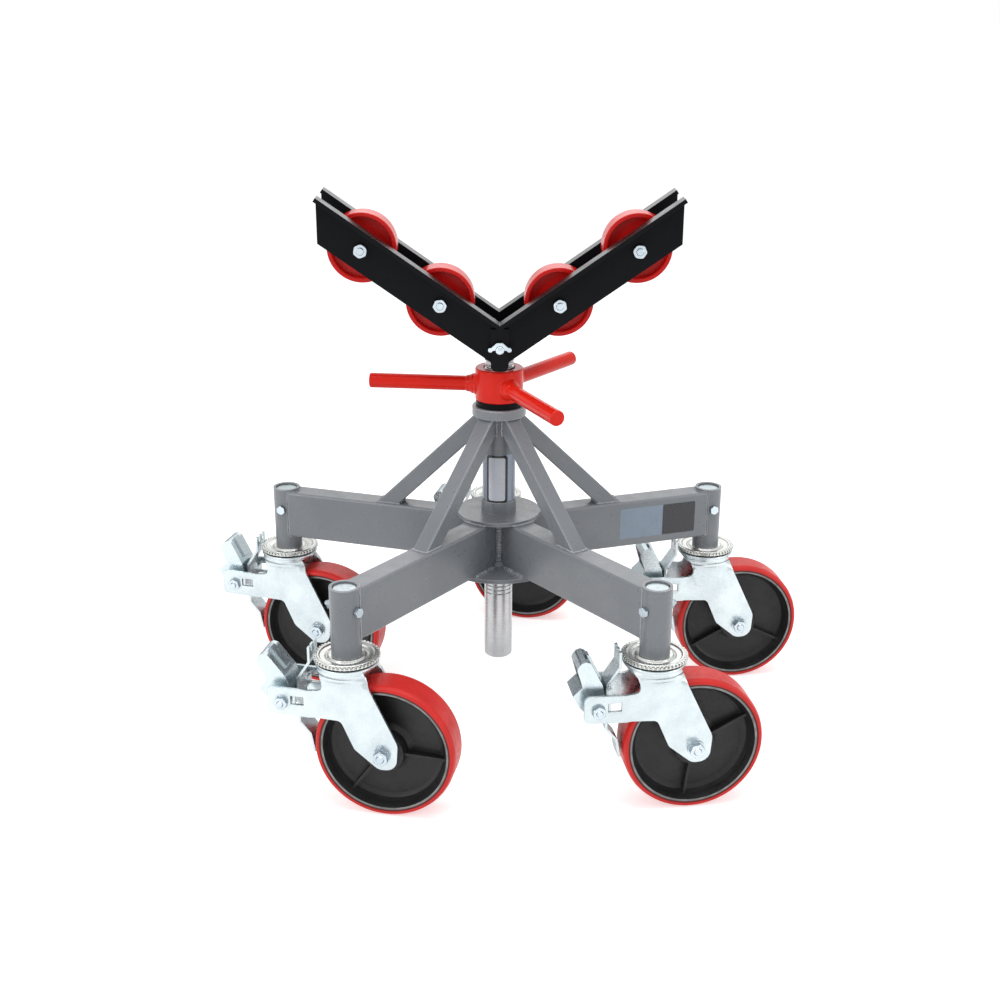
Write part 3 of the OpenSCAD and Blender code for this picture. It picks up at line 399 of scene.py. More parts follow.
# %% Dress the CAD nodes
FINISH_OF_SLOT = {
    "frame_grey": frame_paint, "head_black": head_paint, "handle_red": handle_paint, "roller_red": roller_paint,
    "tread_red": tread.material, "core_black": core_black, "zinc": plated_zinc, "bolt_zinc": bolt_zinc,
    "screw_steel": screw_steel, "bearing_black": bearing_black, "ball_steel": ball_steel,
}
slot_of_node = {row["node"]: row["material_slot"] for row in frame["record"]["subparts"]}
for name, node in NODES.items():
    finish = FINISH_OF_SLOT[slot_of_node[name]]
    if name == "swivel_rings":
        finish = ring_zinc
    elif name.startswith("pedal_"):
        finish = pedal_zinc
    node.data.materials.clear()
    node.data.materials.append(finish)
print("dressed:", len(NODES))

# %% [markdown]
# ## Helpers for shape
# Sizes are written in millimetres, as on a drawing, and become metres when a mesh is placed. A turned piece is a
# profile spun round an axis; a pressed piece is a flat outline that gets its thickness from a Solidify modifier.
# Every finished mesh has its place in its own points, so its object stays at the origin.

# %% Helpers for meshes
CORNER_STEPS = 5
DOUBLED = 0.0001
SMOOTH_ANGLE = math.radians(32)
BREAK_ANGLE = math.radians(50)


def rounded(points, closed=True):
    """Replaces each corner (x, y, radius) of an outline by an arc."""
    out = []
    count = len(points)
    for k, (x, y, radius) in enumerate(points):
        here = Vector((x, y))
        if not radius or (not closed and k in (0, count - 1)):
            out.append((x, y))
            continue
        a = (Vector(points[k - 1][:2]) - here).normalized()
        b = (Vector(points[(k + 1) % count][:2]) - here).normalized()
        half = a.angle(b) / 2
        centre = here + (a + b).normalized() * (radius / math.sin(half))
        start = here + a * (radius / math.tan(half)) - centre
        end = here + b * (radius / math.tan(half)) - centre
        for step in range(CORNER_STEPS + 1):
            spoke = start.lerp(end, step / CORNER_STEPS).normalized() * radius
            out.append(tuple(centre + spoke))
    return out


def spaced(first, last, steps):
    """Numbers from first to last in even steps."""
    return [first + (last - first) * k / steps for k in range(steps + 1)]


def spun(profile, steps, shape=None):
    """A closed profile of (radius, height) turned round Z, as a bmesh or added to one."""
    shape = shape or bmesh.new()
    rings = []
    for k in range(steps):
        angle = 2 * math.pi * k / steps
        c, s = math.cos(angle), math.sin(angle)
        rings.append([shape.verts.new((r * c, r * s, h)) for r, h in profile])
    for k in range(steps):
        here, there = rings[k], rings[(k + 1) % steps]
        for j in range(len(profile)):
            i = (j + 1) % len(profile)
            shape.faces.new((here[j], there[j], there[i], here[i]))
    return shape


def close_solid(shape, rear, front):
    """Joins two loops of as many points to a solid."""
    shape.faces.new(rear[::-1])
    shape.faces.new(front)
    for k in range(len(rear)):
        shape.faces.new((rear[k - 1], rear[k], front[k], front[k - 1]))


def smooth(mesh):
    """Shades round faces smooth and leaves the sharper edges crisp."""
    mesh.shade_smooth()
    mesh.set_sharp_from_angle(angle=SMOOTH_ANGLE)


def mesh_of(name, shape, clean=True):
    """Ends a bmesh as a mesh; clean joins its doubled points and turns its faces outwards."""
    if clean:
        bmesh.ops.remove_doubles(shape, verts=shape.verts, dist=DOUBLED)
        bmesh.ops.recalc_face_normals(shape, faces=shape.faces)
    mesh = bpy.data.meshes.new(name)
    shape.to_mesh(mesh)
    shape.free()
    return mesh


def place_mesh(name, shape, place, finishes, body, clean=True):
    """Turns a bmesh in millimetres into a piece in metres that rides on a body."""
    mesh = mesh_of(name, shape, clean)
    mesh.transform(place @ Matrix.Scale(MM, 4))
    for finish in finishes:
        mesh.materials.append(finish)
    smooth(mesh)
    piece = link_mesh(name, mesh)
    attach(piece, body)
    return piece


def modify(piece, kind, **settings):
    """A modifier with its settings."""
    modifier = piece.modifiers.new(kind.lower(), kind)
    for label, value in settings.items():
        setattr(modifier, label, value)


def break_edges(piece, width, segments):
    """Rounds the sharp edges of a piece by a width in millimetres."""
    modify(piece, "BEVEL", width=width * MM, segments=segments, limit_method="ANGLE", angle_limit=BREAK_ANGLE)


def bake_modifiers(piece):
    """Applies a piece's modifiers to its mesh."""
    graph = bpy.context.evaluated_depsgraph_get()
    graph.update()
    mesh = bpy.data.meshes.new_from_object(piece.evaluated_get(graph))
    piece.modifiers.clear()
    piece.data = mesh


# %% Places on the stand
LEG_REACH = 358
TRAIL = 56
WHEEL_RADIUS = 100
# Of each caster the leg's direction and the direction in which the wheel trails, in degrees
CASTERS = {
    "right": (18, 5.9), "rear": (90, -12), "left": (162, -14.4),
    "front_left": (234, -12.1), "front_right": (306, 7.7),
}


def turned(angle, axis="Z"):
    return Matrix.Rotation(math.radians(angle), 4, axis)


def shifted(x, y, z):
    return Matrix.Translation((x * MM, y * MM, z * MM))


def caster_frame(name):
    """Stands on a caster's swivel axis, X towards its wheel."""
    leg, trail = CASTERS[name]
    return Matrix.Translation(turned(leg) @ Vector((LEG_REACH * MM, 0, 0))) @ turned(trail)


ALONG_MINUS_Y = turned(90, "X")


def wheel_frame(name):
    """Stands in a wheel's middle, Z along its axle."""
    return caster_frame(name) @ shifted(TRAIL, 0, WHEEL_RADIUS) @ ALONG_MINUS_Y


print("casters:", ", ".join(CASTERS))

# %% [markdown]
# ## Helpers for Geometry Nodes
# Threads, weld beads and nuts repeat or follow a path, so node trees grow them. A tree is written as a few lines:
# its named inputs, its nodes and their links. The result is turned into a plain mesh, so nothing
# is left to compute when the stand is rendered.

# %% Node trees
SOCKET_KINDS = {float: "NodeSocketFloat", int: "NodeSocketInt", bpy.types.Material: "NodeSocketMaterial"}


class Tree(Nodes):
    """A geometry node tree with named inputs, ending in Realize Instances and Set Material."""

    def __init__(self, name, **inputs):
        super().__init__(bpy.data.node_groups.new(name, "GeometryNodeTree"))
        sockets = self.tree.interface
        for way in ("INPUT", "OUTPUT"):
            sockets.new_socket("Geometry", in_out=way, socket_type="NodeSocketGeometry")
        for label, value in inputs.items():
            made = sockets.new_socket(label, in_out="INPUT", socket_type=SOCKET_KINDS[type(value)])
            made.default_value = value
        self.start = self.add("NodeGroupInput")
        self.end = self.add("NodeGroupOutput")

    def given(self, label):
        return self.start.outputs[label]

    def named(self, label, kind="FLOAT"):
        """An attribute that the points carry."""
        return self.add("GeometryNodeInputNamedAttribute", data_type=kind, Name=label).outputs["Attribute"]

    def vector(self, x, y, z):
        return self.add("ShaderNodeCombineXYZ", X=x, Y=y, Z=z).outputs["Vector"]

    def close(self, geometry):
        """Ends the tree: instances become real and take the finish."""
        real = self.add("GeometryNodeRealizeInstances", Geometry=geometry)
        dressed = self.add("GeometryNodeSetMaterial", Geometry=real.outputs[0], Material=self.given("Finish"))
        self.fit(self.end, Geometry=dressed.outputs[0])
        return self


def grow(name, tree, mesh, place, body, slot, **values):
    """Runs a tree on a mesh of points in millimetres and keeps what it makes as a plain mesh in metres."""
    piece = link_mesh(name, mesh)
    modifier = piece.modifiers.new(tree.tree.name, "NODES")
    modifier.node_group = tree.tree
    for item in tree.tree.interface.items_tree:
        if item.in_out == "INPUT" and item.name in values:
            modifier[item.identifier] = values[item.name]
    bake_modifiers(piece)
    piece.data.transform(place @ Matrix.Scale(MM, 4))
    smooth(piece.data)
    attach(piece, body)
    return piece


def point_cloud(name, points, **columns):
    """A mesh of loose points whose further columns become attributes."""
    mesh = bpy.data.meshes.new(name)
    mesh.from_pydata(points, [], [])
    for label, values in columns.items():
        kind = "FLOAT_VECTOR" if hasattr(values[0], "__len__") else "FLOAT"
        data = mesh.attributes.new(label, kind, "POINT").data
        data.foreach_set("vector" if kind == "FLOAT_VECTOR" else "value",
                         [n for v in values for n in v] if kind == "FLOAT_VECTOR" else values)
    return mesh


print("tree helpers ready")

# %% [markdown]
# ## The wheels
# Each wheel is an iron casting with a red polyurethane tread moulded round it. The casting is one turned profile,
# a hub, a thin web and a rim that flares outwards, with three low ribs on each side. Spinning a profile gives
# soft casting fillets that a CAD cylinder does not have. The rim's edge was faced on a lathe and stays grey.

# %% Cast cores
WHEEL_STEPS = 120
CORE_SIDE = [
    (6.1, 29.5, 0), (22.6, 29.5, 1), (23.8, 27.5, 0.8), (28.4, 27.3, 1.6), (29.6, 9.5, 4.5), (37, 5.3, 5),
    (75, 4.8, 4), (80.4, 7, 4), (83.6, 13, 4), (88.1, 24.2, 0.5), (90.9, 24.2, 0.4),
]
RIM_EDGE_RADIUS, RIM_EDGE_DEPTH = 87.8, 20
RIB_FIRST = {"right": 92, "rear": 100, "left": 15, "front_left": -6, "front_right": 25}
RIB_COUNT = 3
# The rib's half section, with half its thickness: wide at its root on the web, narrow at its crest
RIB_SECTION = [(27.5, 3, 3.2), (86, 3, 3.2), (86, 13.5, 2), (60, 15.5, 2), (27.5, 19, 2)]


def add_rib(shape, angle, side):
    """A tapered rib from hub to rim on one face of the web."""
    left, right = ([shape.verts.new(turned(angle) @ Vector((radius, across * half, side * height)))
                    for radius, height, half in RIB_SECTION] for across in (-1, 1))
    shape.faces.new(left)
    shape.faces.new(right[::-1])
    for k in range(-len(left), 0):
        shape.faces.new((left[k], left[k + 1], right[k + 1], right[k]))


def cast_core(name):
    upper = rounded(CORE_SIDE, closed=False)
    shape = spun(upper + [(r, -h) for r, h in reversed(upper)], WHEEL_STEPS)
    for face in shape.faces:
        middle = face.calc_center_median()
        if math.hypot(middle.x, middle.y) > RIM_EDGE_RADIUS and abs(middle.z) > RIM_EDGE_DEPTH:
            face.material_index = 1
    for rib in range(RIB_COUNT):
        for side in (-1, 1):
            add_rib(shape, RIB_FIRST[name] + rib * 360 / RIB_COUNT, side)
    piece = place_mesh(f"cast_core_{name}", shape, wheel_frame(name), [core_black, rim_edge], f"wheel_{name}")
    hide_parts(f"wheel_core_{name}")
    return piece


cores = [cast_core(name) for name in CASTERS]
print("cores:", len(cores), "faces each:", len(cores[0].data.polygons))

# %% [markdown]
# ## The treads
# The tread's side is slightly hollow next to the rim, where the polyurethane is bonded, and its shoulders are round.
# The band next to the rim is painted darker from an attribute that the spin writes on each point.

# %% Red treads
TREAD_SIDE = [(91, 24.4, 0.4), (92.6, 24.5, 0.4), (94, 25, 0.8), (97.6, 24.9, 3), (100, 18.5, 6)]
TREAD_PROFILE = [(r, -h, round_off) for r, h, round_off in TREAD_SIDE] + TREAD_SIDE[::-1]
DARK_BAND_RADIUS = 93.4


def red_tread(name):
    shape = spun(rounded(TREAD_PROFILE), WHEEL_STEPS)
    bond = shape.verts.layers.float.new(DARK_BAND)
    for vert in shape.verts:
        vert[bond] = float(math.hypot(vert.co.x, vert.co.y) < DARK_BAND_RADIUS)
    piece = place_mesh(f"red_tread_{name}", shape, wheel_frame(name), [tread.material], f"wheel_{name}")
    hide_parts(f"tyre_{name}")
    return piece


treads = [red_tread(name) for name in CASTERS]
print("treads:", len(treads))

# %% [markdown]
# ## The pressed forks
# A fork is pressed from one thick sheet. Its crown is a round cup under the brake ring, and below it the cup's wall
# turns into two flat arms: one tongue runs down to the axle, and one tail runs back to the pedal. The change
# from round to flat is what makes it look pressed, so each arm is one surface whose distance from the middle
# follows the crown's circle at the top and a flat plane below. Solidify gives it the sheet's thickness and
# Bevel breaks its edges.

# %% Forks
ARM_MIDDLE = 32.25
ARM_SHEET, ARM_EDGE = 4.5, 0.7
NECK_BASE, NECK_TOP = 197.0, 222.6
NECK_ROWS, NECK_COLUMNS = 26, 24
NECK_BEADS = [(217.4, 1.5, 0.9), (213.2, 1.1, -0.7), (209.6, 1.4, 0.5)]
CROWN_CIRCLE, CROWN_REACH = 40.5, 37
ARM_OUTLINE = [
    (78.6, 118, 20), (76, 79.5, 16), (51, 78, 16), (17, 106, 14), (-1, 147.5, 9), (-104, 152, 7), (-104, 192, 8),
]
NECK_REAR = [(-34.5, 190.0), (-28.4, 192.0), (-26.2, 197.0), (-26.6, 204), (-29.0, 212), (-34, 219), (-37.5, 222.6)]
NECK_FRONT = [(41.0, 197.0), (28.8, 222.6)]
SLOT = [(-71, 167, 1), (-52, 167, 1), (-52, 180, 1), (-71, 180, 1)]
PIN_BACK, PIN_LEVEL = -84, 169
HOLES = [(TRAIL, WHEEL_RADIUS, 6.3), (PIN_BACK, PIN_LEVEL, 5.3)]
HOLE_STEPS = 20
CROWN_STEPS = 72
PAD_BEND = (-38, -46)
PAD_STEP = 2.6
CROWN_PROFILE = [
    (11.2, 208, 0), (33, 208, 3), (35.2, 213.4, 3), (40.6, 218.4, 1.8), (41.2, 221.2, 0.8), (44.2, 222.8, 1.1),
    (44.3, 226.4, 1.2), (39.4, 226.4, 1), (37.4, 222.5, 1.5), (33, 213, 2), (11.2, 213, 0),
]


def along_path(path, level):
    """The distance at which a path of (distance, level) crosses a level."""
    for (x0, z0), (x1, z1) in zip(path, path[1:]):
        if min(z0, z1) <= level <= max(z0, z1):
            return x0 + (x1 - x0) * (level - z0) / (z1 - z0)
    return path[-1][0]


def arm_distance(x, level):
    """How far the arm's middle surface is from the fork's middle plane."""
    share = max(0.0, (level - NECK_BASE) / (NECK_TOP - NECK_BASE))
    share = share * share * (3 - 2 * share)
    circle = math.sqrt(max(CROWN_CIRCLE ** 2 - min(abs(x), CROWN_REACH) ** 2, 0))
    beads = sum(high * math.exp(-((level - middle) / wide) ** 2) for middle, wide, high in NECK_BEADS)
    return ARM_MIDDLE + (circle - ARM_MIDDLE) * share + beads


def fork_arm(shape, side):
    rows = []
    for level in spaced(NECK_BASE, NECK_TOP, NECK_ROWS):
        rear, front = along_path(NECK_REAR, level), along_path(NECK_FRONT, level)
        rows.append([shape.verts.new((x, side * arm_distance(x, level), level))
                     for x in spaced(rear, front, NECK_COLUMNS)])
    for below, above in zip(rows, rows[1:]):
        for k in range(NECK_COLUMNS):
            shape.faces.new((below[k], below[k + 1], above[k + 1], above[k]))
    rest = rounded([(47, 185, 0), *ARM_OUTLINE, (-45, 190.5, 0)])[1:-1]
    flat = [shape.verts.new((x, side * ARM_MIDDLE, z)) for x, z in rest + NECK_REAR[:2]]
    angles = [2 * math.pi * k / HOLE_STEPS for k in range(HOLE_STEPS)]
    holes = [[(x + r * math.cos(a), z + r * math.sin(a)) for a in angles] for x, z, r in HOLES]
    loops = [rows[0] + flat] + [[shape.verts.new((x, side * ARM_MIDDLE, z)) for x, z in hole]
                                for hole in [rounded(SLOT)] + holes]
    edges = [shape.edges.get(pair) or shape.edges.new(pair)
             for loop in loops for pair in zip(loop, loop[1:] + loop[:1])]
    bmesh.ops.triangle_fill(shape, use_beauty=True, use_dissolve=False, edges=edges)


def joggle(shape):
    """Steps the tail outwards past a bend, so that its pad lies over the pedal's washers."""
    for x in PAD_BEND:
        everything = shape.verts[:] + shape.edges[:] + shape.faces[:]
        bmesh.ops.bisect_plane(shape, geom=everything, plane_co=(x, 0, 0), plane_no=(1, 0, 0), dist=0.001)
    for vert in shape.verts:
        if vert.co.z < NECK_BASE:
            share = min(max((PAD_BEND[0] - vert.co.x) / (PAD_BEND[0] - PAD_BEND[1]), 0), 1)
            vert.co.y += math.copysign(PAD_STEP * share, vert.co.y)


def pressed_arms(name):
    shape = bmesh.new()
    for side in (-1, 1):
        fork_arm(shape, side)
    joggle(shape)
    bmesh.ops.recalc_face_normals(shape, faces=shape.faces)
    piece = place_mesh(f"fork_arms_{name}", shape, caster_frame(name), [plated_zinc], f"caster_{name}",
                       clean=False)
    modify(piece, "SOLIDIFY", thickness=ARM_SHEET * MM, offset=0, use_even_offset=True)
    break_edges(piece, ARM_EDGE, 2)
    bake_modifiers(piece)
    smooth(piece.data)
    return piece


def fork_crown(name):
    place_mesh(f"fork_crown_{name}", spun(rounded(CROWN_PROFILE), CROWN_STEPS), caster_frame(name), [plated_zinc],
               f"caster_{name}")


for name in CASTERS:
    arms = pressed_arms(name)
    fork_crown(name)
    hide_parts(f"yoke_{name}")
print("fork faces:", len(arms.data.polygons))

# %% [markdown]
# ## The lift screw
# A jack screw carries a coarse thread with flat crests. The ridge is a trapezoid swept along a spiral, and its
# foot sinks into a plain core, as if it had been cut there. It is right-handed, so the head rises when the nut
# is turned clockwise. Below the thread the shank is plain but for the three shallow cuts where the tool ran out,
# and above the thread a spigot turns in the head's socket.

# %% Threaded screw
THREAD_PITCH = 6.35
THREAD_CREST, THREAD_ROOT = 21.9, 19.2
THREAD_BASE, THREAD_TURNS = 238.0, 52.4
THREAD_STEPS = 48
TOOTH_FOOT, TOOTH_TIP = 4.9, 2.0
TOOTH_SINK = 0.5
SCREW_STEPS = 96
SHANK = 21.7
CUT_LEVELS, CUT_HALF, CUT_DEPTH = (201.5, 208.0, 214.4), 1.1, 1.2
SHANK_CUTS = [(SHANK - depth, level + rise, 0) for level in CUT_LEVELS
              for rise, depth in ((-CUT_HALF, 0), (0, CUT_DEPTH), (CUT_HALF, 0))]
SCREW_PROFILE = [
    (0, 92, 0), (19.7, 92, 0), (SHANK, 94, 1), *SHANK_CUTS, (SHANK, 232, 1.5), (THREAD_ROOT, 236, 0),
    (THREAD_ROOT, 570, 0), (THREAD_CREST, 572.5, 0), (THREAD_CREST, 573.7, 0.4), (17, 573.7, 0), (17, 605, 1),
    (15, 607, 0), (0, 607, 0),
]


def thread_tree():
    """A trapezoid swept up a spiral, joined to the mesh that comes in."""
    t = Tree("thread_ridge", Pitch=THREAD_PITCH, Turns=THREAD_TURNS, Crest=THREAD_CREST, Root=THREAD_ROOT,
             Foot=TOOTH_FOOT, Tip=TOOTH_TIP, Base=THREAD_BASE, Steps=THREAD_STEPS, Finish=screw_steel)
    depth = t.math("SUBTRACT", t.given("Crest"), t.given("Root"))
    middle = t.math("SUBTRACT", t.given("Crest"), t.math("MULTIPLY", depth, 0.5))
    spiral = t.add("GeometryNodeCurveSpiral", Resolution=t.given("Steps"), Rotations=t.given("Turns"),
                   Start_Radius=middle, End_Radius=middle,
                   Height=t.math("MULTIPLY", t.given("Pitch"), t.given("Turns")))
    held = t.add("GeometryNodeSetCurveNormal", mode="Z_UP", Curve=spiral.outputs[0])
    tooth = t.add("GeometryNodeCurvePrimitiveQuadrilateral", mode="TRAPEZOID", Bottom_Width=t.given("Foot"),
                  Top_Width=t.given("Tip"), Height=depth, Offset=0)
    aimed = t.add("GeometryNodeTransform", Geometry=tooth.outputs[0], Rotation=(0, 0, math.radians(90)))
    ridge = t.add("GeometryNodeCurveToMesh", Curve=held.outputs[0], Profile_Curve=aimed.outputs[0], Fill_Caps=True)
    raised = t.add("GeometryNodeTransform", Geometry=ridge.outputs[0], Translation=t.vector(0, 0, t.given("Base")))
    joined = t.add("GeometryNodeJoinGeometry", Geometry=[t.given("Geometry"), raised.outputs[0]])
    return t.close(joined.outputs[0])


blank = mesh_of("blank", spun(rounded(SCREW_PROFILE, closed=False), SCREW_STEPS))
threaded_screw = grow("threaded_screw", thread_tree(), blank, Matrix(), "screw", "screw_steel",
                      Root=THREAD_ROOT - TOOTH_SINK)
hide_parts("lift_screw")
print("screw faces:", len(threaded_screw.data.polygons))

# %% [markdown]
# ## The handle nut
# The nut is a turned sleeve. Its three bars stand in drilled holes and are welded in all round, so a wide fillet
# of weld runs from the sleeve to each bar, and red paint covers all of it. The fillet is a profile turned round
# the bar's axis; its hollow curve is what keeps it from looking like a machined boss.

# %% Handle nut
NUT_PROFILE = [(22.6, 512.6, 0), (35.8, 512.6, 1.6), (35.8, 561, 2.4), (24.2, 561, 1.2), (22.6, 559.2, 0)]
BAR_LEVEL, BAR_ANGLES = 534.5, (53.5, 173.5, 293.5)
FILLET_PROFILE = [
    (0, 27, 0), (17.8, 27, 0), (17.2, 35.4, 1.5), (15.4, 37.2, 1), (15.0, 40.2, 1.2), (13.2, 43.2, 2), (12.3, 48, 3),
    (10.9, 50.4, 0), (0, 50.4, 0),
]
NUT_STEPS, FILLET_STEPS = 96, 48

nut_shape = spun(rounded(NUT_PROFILE), NUT_STEPS)
for angle in BAR_ANGLES:
    first = len(nut_shape.verts)
    spun(rounded(FILLET_PROFILE, closed=False), FILLET_STEPS, nut_shape)
    nut_shape.verts.ensure_lookup_table()
    laid = turned(angle) @ Matrix.Translation((0, 0, BAR_LEVEL)) @ turned(90, "Y")
    bmesh.ops.transform(nut_shape, matrix=laid, verts=nut_shape.verts[first:])
welded_nut = place_mesh("welded_nut", nut_shape, Matrix(), [handle_paint], "handle")
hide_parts("handle_nut")
print("nut faces:", len(welded_nut.data.polygons))

# %% [markdown]
# ## Nuts and bolts
# Every hexagon on the stand is the same idea at another size: a hexagonal bar met by a double cone, which
# leaves the curved chamfers seen on real nuts. One tree grows them on points. Each point says which way it
# looks and how large its hexagon, its chamfered bolt end and its plain round, a shank or a washer, are.

# %% A tree that grows fasteners
NUT_SIDES = 6
ROUND_SIDES = 32
CHAMFER_FLAT, CHAMFER_DROP = 0.9, 0.14
END_FLAT, END_DROP = 0.8, 0.18


def lifted(t, node, lift, turn=0.0):
    return t.add("GeometryNodeTransform", Geometry=node.outputs[0], Translation=(0, 0, lift),
                 Rotation=(turn, 0, 0)).outputs[0]


def fastener_tree():
    """Hexagons, bolt ends and rods of unit size, scaled by what each point carries."""
    t = Tree("fasteners", Flat=CHAMFER_FLAT, Drop=CHAMFER_DROP, Finish=bolt_zinc)
    slope = t.math("DIVIDE", t.math("SUBTRACT", 1, t.given("Flat")), t.given("Drop"))
    cone = t.add("GeometryNodeMeshCone", Vertices=ROUND_SIDES * 2, Radius_Top=t.given("Flat"),
                 Radius_Bottom=t.math("ADD", t.given("Flat"), slope), Depth=1)
    hexagon = t.add("GeometryNodeMeshCylinder", Vertices=NUT_SIDES, Radius=1, Depth=1)
    nut = t.add("GeometryNodeMeshBoolean", operation="INTERSECT", solver="EXACT")
    t.plug([lifted(t, hexagon, 0.5), lifted(t, cone, 0), lifted(t, cone, 1, math.pi)], nut.inputs[1])
    bar = t.add("GeometryNodeMeshCylinder", Vertices=ROUND_SIDES, Radius=1, Depth=1 - END_DROP)
    end = t.add("GeometryNodeMeshCone", Vertices=ROUND_SIDES, Radius_Top=END_FLAT, Radius_Bottom=1, Depth=END_DROP)
    tip = t.add("GeometryNodeJoinGeometry",
                Geometry=[lifted(t, bar, (1 - END_DROP) / 2), lifted(t, end, 1 - END_DROP)])
    rod = t.add("GeometryNodeMeshCylinder", Vertices=ROUND_SIDES, Radius=1, Depth=1)
    aim = t.add("FunctionNodeAlignRotationToVector", axis="Z", Vector=t.named("aim", "FLOAT_VECTOR"))
    spin = t.add("FunctionNodeAxisAngleToRotation", Axis=(0, 0, 1), Angle=t.named("spin"))
    turn = t.add("FunctionNodeRotateRotation", rotation_space="LOCAL", Rotation=aim.outputs[0],
                 Rotate_By=spin.outputs[0])
    grown = []
    for kind, shape in (("nut", nut.outputs[0]), ("tip", tip.outputs[0]), ("rod", lifted(t, rod, 0.5))):
        radius, length = t.named(f"{kind}_radius"), t.named(f"{kind}_length")
        placed = t.add("GeometryNodeInstanceOnPoints", Points=t.given("Geometry"), Instance=shape,
                       Selection=t.math("GREATER_THAN", radius, 0), Rotation=turn.outputs[0],
                       Scale=t.vector(radius, radius, length))
        grown.append(placed.outputs[0])
    return t.close(t.add("GeometryNodeJoinGeometry", Geometry=grown).outputs[0])


class Hardware:
    """Collects fastener points, with sizes in millimetres, for one body."""

    def __init__(self):
        self.points, self.rows = [], []

    def put(self, place, aim, spin=0, nut=(0, 0), tip=(0, 0), rod=(0, 0)):
        """One point; a nut, a tip and a rod are given by radius and length."""
        row = {"aim": aim, "spin": math.radians(spin)}
        for kind, size in (("nut", nut), ("tip", tip), ("rod", rod)):
            row[f"{kind}_radius"], row[f"{kind}_length"] = size
        self.points.append(place)
        self.rows.append(row)

    def grow(self, name, place, body, node):
        columns = {label: [row[label] for row in self.rows] for label in self.rows[0]}
        piece = grow(name, fasteners, point_cloud(name, self.points, **columns), place, body, "bolt_zinc")
        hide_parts(node)
        return piece


fasteners = fastener_tree()
print("fastener tree:", len(fasteners.tree.nodes), "nodes")

# %% [markdown]
# The roller bolts have their nuts at the front. The axle bolts have a washer under the nut and one under the head.
# Real nuts stop wherever they came tight, so each one is turned by its own angle. A bolt's shank is a hair wider
# than the tip that stands out of its nut, as if the thread were cut into it.

# %% Place the fasteners
FRONT, BACK = (0, -1, 0), (0, 1, 0)
SHANK_OVER = 0.05
ROLLER_CENTRES = [(-85.8, 661.88), (-197, 739.74), (85.8, 661.88), (197, 739.74)]
RAIL_FACE = 40.2
ROLLER_NUT, ROLLER_HEAD, ROLLER_TIP = (10.4, 9.4), (10.4, 7.3), (5.9, 11.1)
ARM_FACE, WASHER_RADIUS, WASHER = 34.5, 12, 1.9
AXLE_NUT, AXLE_TIP = (10.9, 7.6), (5.9, 11.7)
PIN_NUT, PIN_TIP = (9.6, 5.8), (4.9, PAD_STEP + 8.2)
NUT_SPINS = {"right": 12, "rear": 40, "left": 3, "front_left": 24, "front_right": 50}
SOCKET_FACE, SOCKET_BOLT_LEVEL = 21.3, 301
SOCKET_HEAD, SOCKET_NUT, SOCKET_TIP = (7.5, 5.3), (7.5, 6.3), (3.9, 13.0)
SOCKET_BOLT_HEADS = {"right": -1, "rear": 1, "left": 1, "front_left": 1, "front_right": -1}

hardware = Hardware()
for k, (x, z) in enumerate(ROLLER_CENTRES):
    hardware.put((x, -RAIL_FACE, z), FRONT, 17 * k + 5, nut=ROLLER_NUT, tip=ROLLER_TIP)
    hardware.put((x, RAIL_FACE, z), BACK, 23 * k, nut=ROLLER_HEAD)
    hardware.put((x, RAIL_FACE, z), FRONT, rod=(ROLLER_TIP[0] + SHANK_OVER, 2 * RAIL_FACE))
roller_hardware = hardware.grow("roller_hardware", Matrix(), "head", "roller_bolts")

for name in CASTERS:
    hardware = Hardware()
    spin = NUT_SPINS[name]
    for side, aim in ((-1, FRONT), (1, BACK)):
        hardware.put((TRAIL, side * ARM_FACE, WHEEL_RADIUS), aim, rod=(WASHER_RADIUS, WASHER))
        hardware.put((TRAIL, side * (ARM_FACE + WASHER), WHEEL_RADIUS), aim, spin * side, nut=AXLE_NUT)
        hardware.put((PIN_BACK, side * (ARM_FACE + PAD_STEP), PIN_LEVEL), aim, spin + 20 * side, nut=PIN_NUT)
    for x, z, tip in ((TRAIL, WHEEL_RADIUS, AXLE_TIP), (PIN_BACK, PIN_LEVEL, PIN_TIP)):
        hardware.put((x, -ARM_FACE, z), FRONT, tip=tip)
        hardware.put((x, ARM_FACE, z), FRONT, rod=(tip[0] + SHANK_OVER, 2 * ARM_FACE))
    hardware.grow(f"caster_hardware_{name}", caster_frame(name), f"caster_{name}", f"pins_{name}")

hardware = Hardware()
for name, head in SOCKET_BOLT_HEADS.items():
    leg = turned(CASTERS[name][0])
    middle, across = leg @ Vector((LEG_REACH, 0, SOCKET_BOLT_LEVEL)), leg @ Vector((0, 1, 0))
    for side, nut, tip in ((head, SOCKET_HEAD, (0, 0)), (-head, SOCKET_NUT, SOCKET_TIP)):
        hardware.put(middle + across * side * SOCKET_FACE, across * side, NUT_SPINS[name] + 15 * side, nut, tip)
    hardware.put(middle + across * SOCKET_FACE, -across, rod=(SOCKET_TIP[0] + SHANK_OVER, 2 * SOCKET_FACE))
hardware.grow("socket_hardware", Matrix(), "frame", "socket_bolts")

print("roller hardware faces:", len(roller_hardware.data.polygons))

# %% [markdown]
# ## The wing screw
# A die-cast wing screw locks the head on the spigot. Its two wings droop from a boss over the hub, and everything
# on it is round, because a casting must leave its mould. The hub is turned from a profile, the wings are one drawn
# outline with a thickness, and Bevel rounds both.

